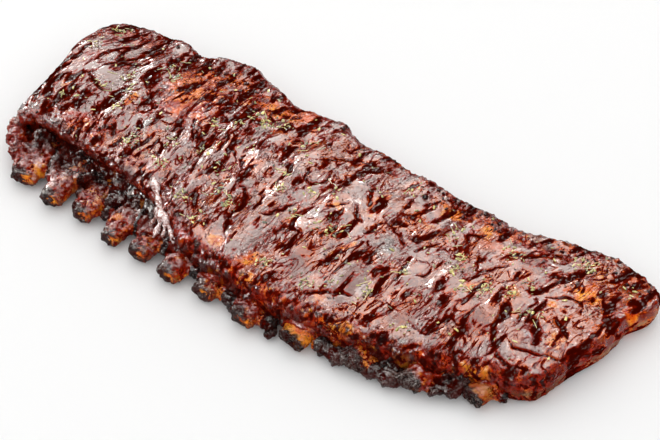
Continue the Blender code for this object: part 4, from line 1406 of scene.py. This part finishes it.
class RIBS_OT_crumbs(bpy.types.Operator):
    """Scatter scorched crumbs over the glaze and along the far edge"""

    bl_idname = "ribs.crumbs"
    bl_label = "Scorched Crumbs"

    def execute(self, context):
        rng = np.random.default_rng(CRUMB_SEED)
        tree = meat_tree()
        corner_points, corner_faces = ball(3, 6)
        shapes = []
        for x, y, spread_x, spread_y, small, large, count in CRUMB_PLACES:
            for _ in range(count):
                px, py = x + spread_x * rng.uniform(-1, 1), y + spread_y * rng.uniform(-1, 1)
                sizes = small + (large - small) * rng.uniform() ** 2.5 * rng.uniform(0.6, 1.0, 3)
                jitter = rng.uniform(0.75, 1.25, (len(corner_points), 1))
                turn = rng.uniform(0, 2 * np.pi)
                hit, normal = on_top(tree, px, py)
                if hit is None:
                    continue
                c, s = np.cos(turn), np.sin(turn)
                body = corner_points * sizes * jitter @ np.array(((c, s, 0), (-s, c, 0), (0, 0, 0.7)))
                shapes.append((body + hit + normal * 0.25 * sizes[2], corner_faces, {}))
        points, blocks, _ = joined(shapes)
        char = smoothstep(-0.3, 0.2, noise(points / 9.0, 141))
        masks = empty_masks(len(points), char=char, crease=0.5, side=0.2)
        material = glazed_material("crumb", context.scene.rack_settings, wrinkles=0.4, grit=0.4)
        add_piece("scorched_crumbs", points, blocks, material, masks)
        return {"FINISHED"}


class RIBS_OT_drips(bpy.types.Operator):
    """Build the strand of sauce that hangs over the cut-back edge, painted pale as a painted highlight"""

    bl_idname = "ribs.drips"
    bl_label = "Strand Of Sauce"

    def execute(self, context):
        shapes = []
        for width, *path in STRANDS:
            path = smooth_path(path)(np.linspace(0, 1, 14 * len(path)))
            share = np.linspace(0, 1, len(path))
            half = 0.5 * width * (1 + 0.35 * np.sin(13 * share + width)) * np.sqrt(np.clip(1.2 - share, 0.1, 1))
            shapes.append((*tube(path, half, half, STRAND_SIDES), {}))
        points, blocks, _ = joined(shapes)
        points, blocks = skinned(points, blocks, SAUCE_PITCH, SKIN_SMOOTHING)
        points = points + vertex_normals(points, blocks) * (0.25 * layered(points / 2.0, 151))[:, None]
        material = sauce_material("sauce_strand", context.scene.rack_settings)
        add_piece("sauce_strand", points, blocks, material)
        return {"FINISHED"}


def soft_light(name, place, width, height, brightness, glossy):
    """A rectangular light facing the rack, brightness per area, for gloss only or for the rest only."""
    data = bpy.data.lights.new(name, "AREA")
    data.shape = "RECTANGLE"
    data.size, data.size_y = width, height
    data.energy = brightness * np.pi * width * height
    data.color = SHEEN_TINT if glossy else (1.0, 1.0, 1.0)
    light = bpy.data.objects.new(name, data)
    bpy.context.scene.collection.objects.link(light)
    light.location = place
    light.rotation_euler = (-Vector(place)).to_track_quat("-Z", "Y").to_euler()
    light.visible_diffuse, light.visible_glossy = not glossy, glossy


class RIBS_OT_stage(bpy.types.Operator):
    """Lay the floor and set the soft light and the camera"""

    bl_idname = "ribs.stage"
    bl_label = "Studio"

    def execute(self, context):
        scene = context.scene
        stage = scene.stage_settings
        scene.view_settings.view_transform = "Standard"

        material, t, shader = new_material("floor")
        cloud = t.noise(2.0, t.place())
        t.put(shader["Base Color"], t.blend(cloud, [0.99 * c for c in stage.floor_colour], stage.floor_colour))
        shader["Roughness"].default_value = 0.7
        shader["Specular IOR Level"].default_value = 0.1
        corners = np.array([(-1, -1), (1, -1), (1, 1), (-1, 1)]) * FLOOR_REACH
        corners = np.column_stack([corners, np.full(4, FLOOR_HEIGHT)])
        mesh_object("floor", corners, [np.array([[0, 1, 2, 3]])], material)

        brightness = stage.key_brightness
        soft_light("key_light", KEY_PLACE, stage.key_size, stage.key_size, brightness, False)
        soft_light("front_light", FRONT_PLACE, *FRONT_SIZE, FRONT_SHARE * brightness, False)
        soft_light("soft_box", SHEEN_PLACE, stage.sheen_size, stage.sheen_size, stage.sheen_brightness, True)
        for light in GLINT_LIGHTS:
            soft_light(*light, True)

        world = bpy.data.worlds.new("studio")
        scene.world = world
        world.use_nodes = True
        t = Tree(world.node_tree)
        rays = t.add("ShaderNodeLightPath", output=None)
        level = t.blend(rays["Is Glossy Ray"], [stage.fill_level] * 3, [stage.dark_level] * 3)
        level = t.blend(rays["Is Camera Ray"], level, BACKGROUND)
        t.put(world.node_tree.nodes["Background"].inputs["Color"], level)

        data = bpy.data.cameras.new("camera")
        data.lens = stage.lens
        data.sensor_width = SENSOR_WIDTH
        camera = bpy.data.objects.new("camera", data)
        scene.collection.objects.link(camera)
        azimuth, elevation = np.radians(CAMERA_ANGLES)
        flat = np.cos(elevation)
        back = Vector((np.sin(azimuth) * flat, -np.cos(azimuth) * flat, np.sin(elevation)))
        camera.location = Vector(CAMERA_AIM) + back * stage.distance
        camera.rotation_euler = (np.pi / 2 - elevation, 0.0, azimuth)
        scene.camera = camera
        return {"FINISHED"}


OPERATORS = (
    RIBS_OT_meat, RIBS_OT_sleeves, RIBS_OT_bones, RIBS_OT_herbs, RIBS_OT_crumbs, RIBS_OT_drips, RIBS_OT_stage,
)


class RIBS_PT_panel(bpy.types.Panel):
    """The pieces of the rack of ribs"""

    bl_label = "Rack of Ribs"
    bl_idname = "RIBS_PT_panel"
    bl_space_type = "VIEW_3D"
    bl_region_type = "UI"
    bl_category = "Ribs"

    def draw(self, context):
        for settings in (context.scene.rack_settings, context.scene.stage_settings):
            for name in settings.__annotations__:
                self.layout.prop(settings, name)
        for operator in OPERATORS:
            self.layout.operator(operator.bl_idname)


CLASSES = (RackSettings, StageSettings, *OPERATORS, RIBS_PT_panel)


def register():
    for cls in CLASSES:
        bpy.utils.register_class(cls)
    bpy.types.Scene.rack_settings = bpy.props.PointerProperty(type=RackSettings)
    bpy.types.Scene.stage_settings = bpy.props.PointerProperty(type=StageSettings)


def unregister():
    del bpy.types.Scene.stage_settings
    del bpy.types.Scene.rack_settings
    for cls in reversed(CLASSES):
        bpy.utils.unregister_class(cls)


def main():
    register()
    bpy.ops.ribs.meat()
    bpy.ops.ribs.sleeves()
    bpy.ops.ribs.bones()
    bpy.ops.ribs.herbs()
    bpy.ops.ribs.crumbs()
    bpy.ops.ribs.drips()
    bpy.ops.ribs.stage()


if __name__ == "__main__":
    main()
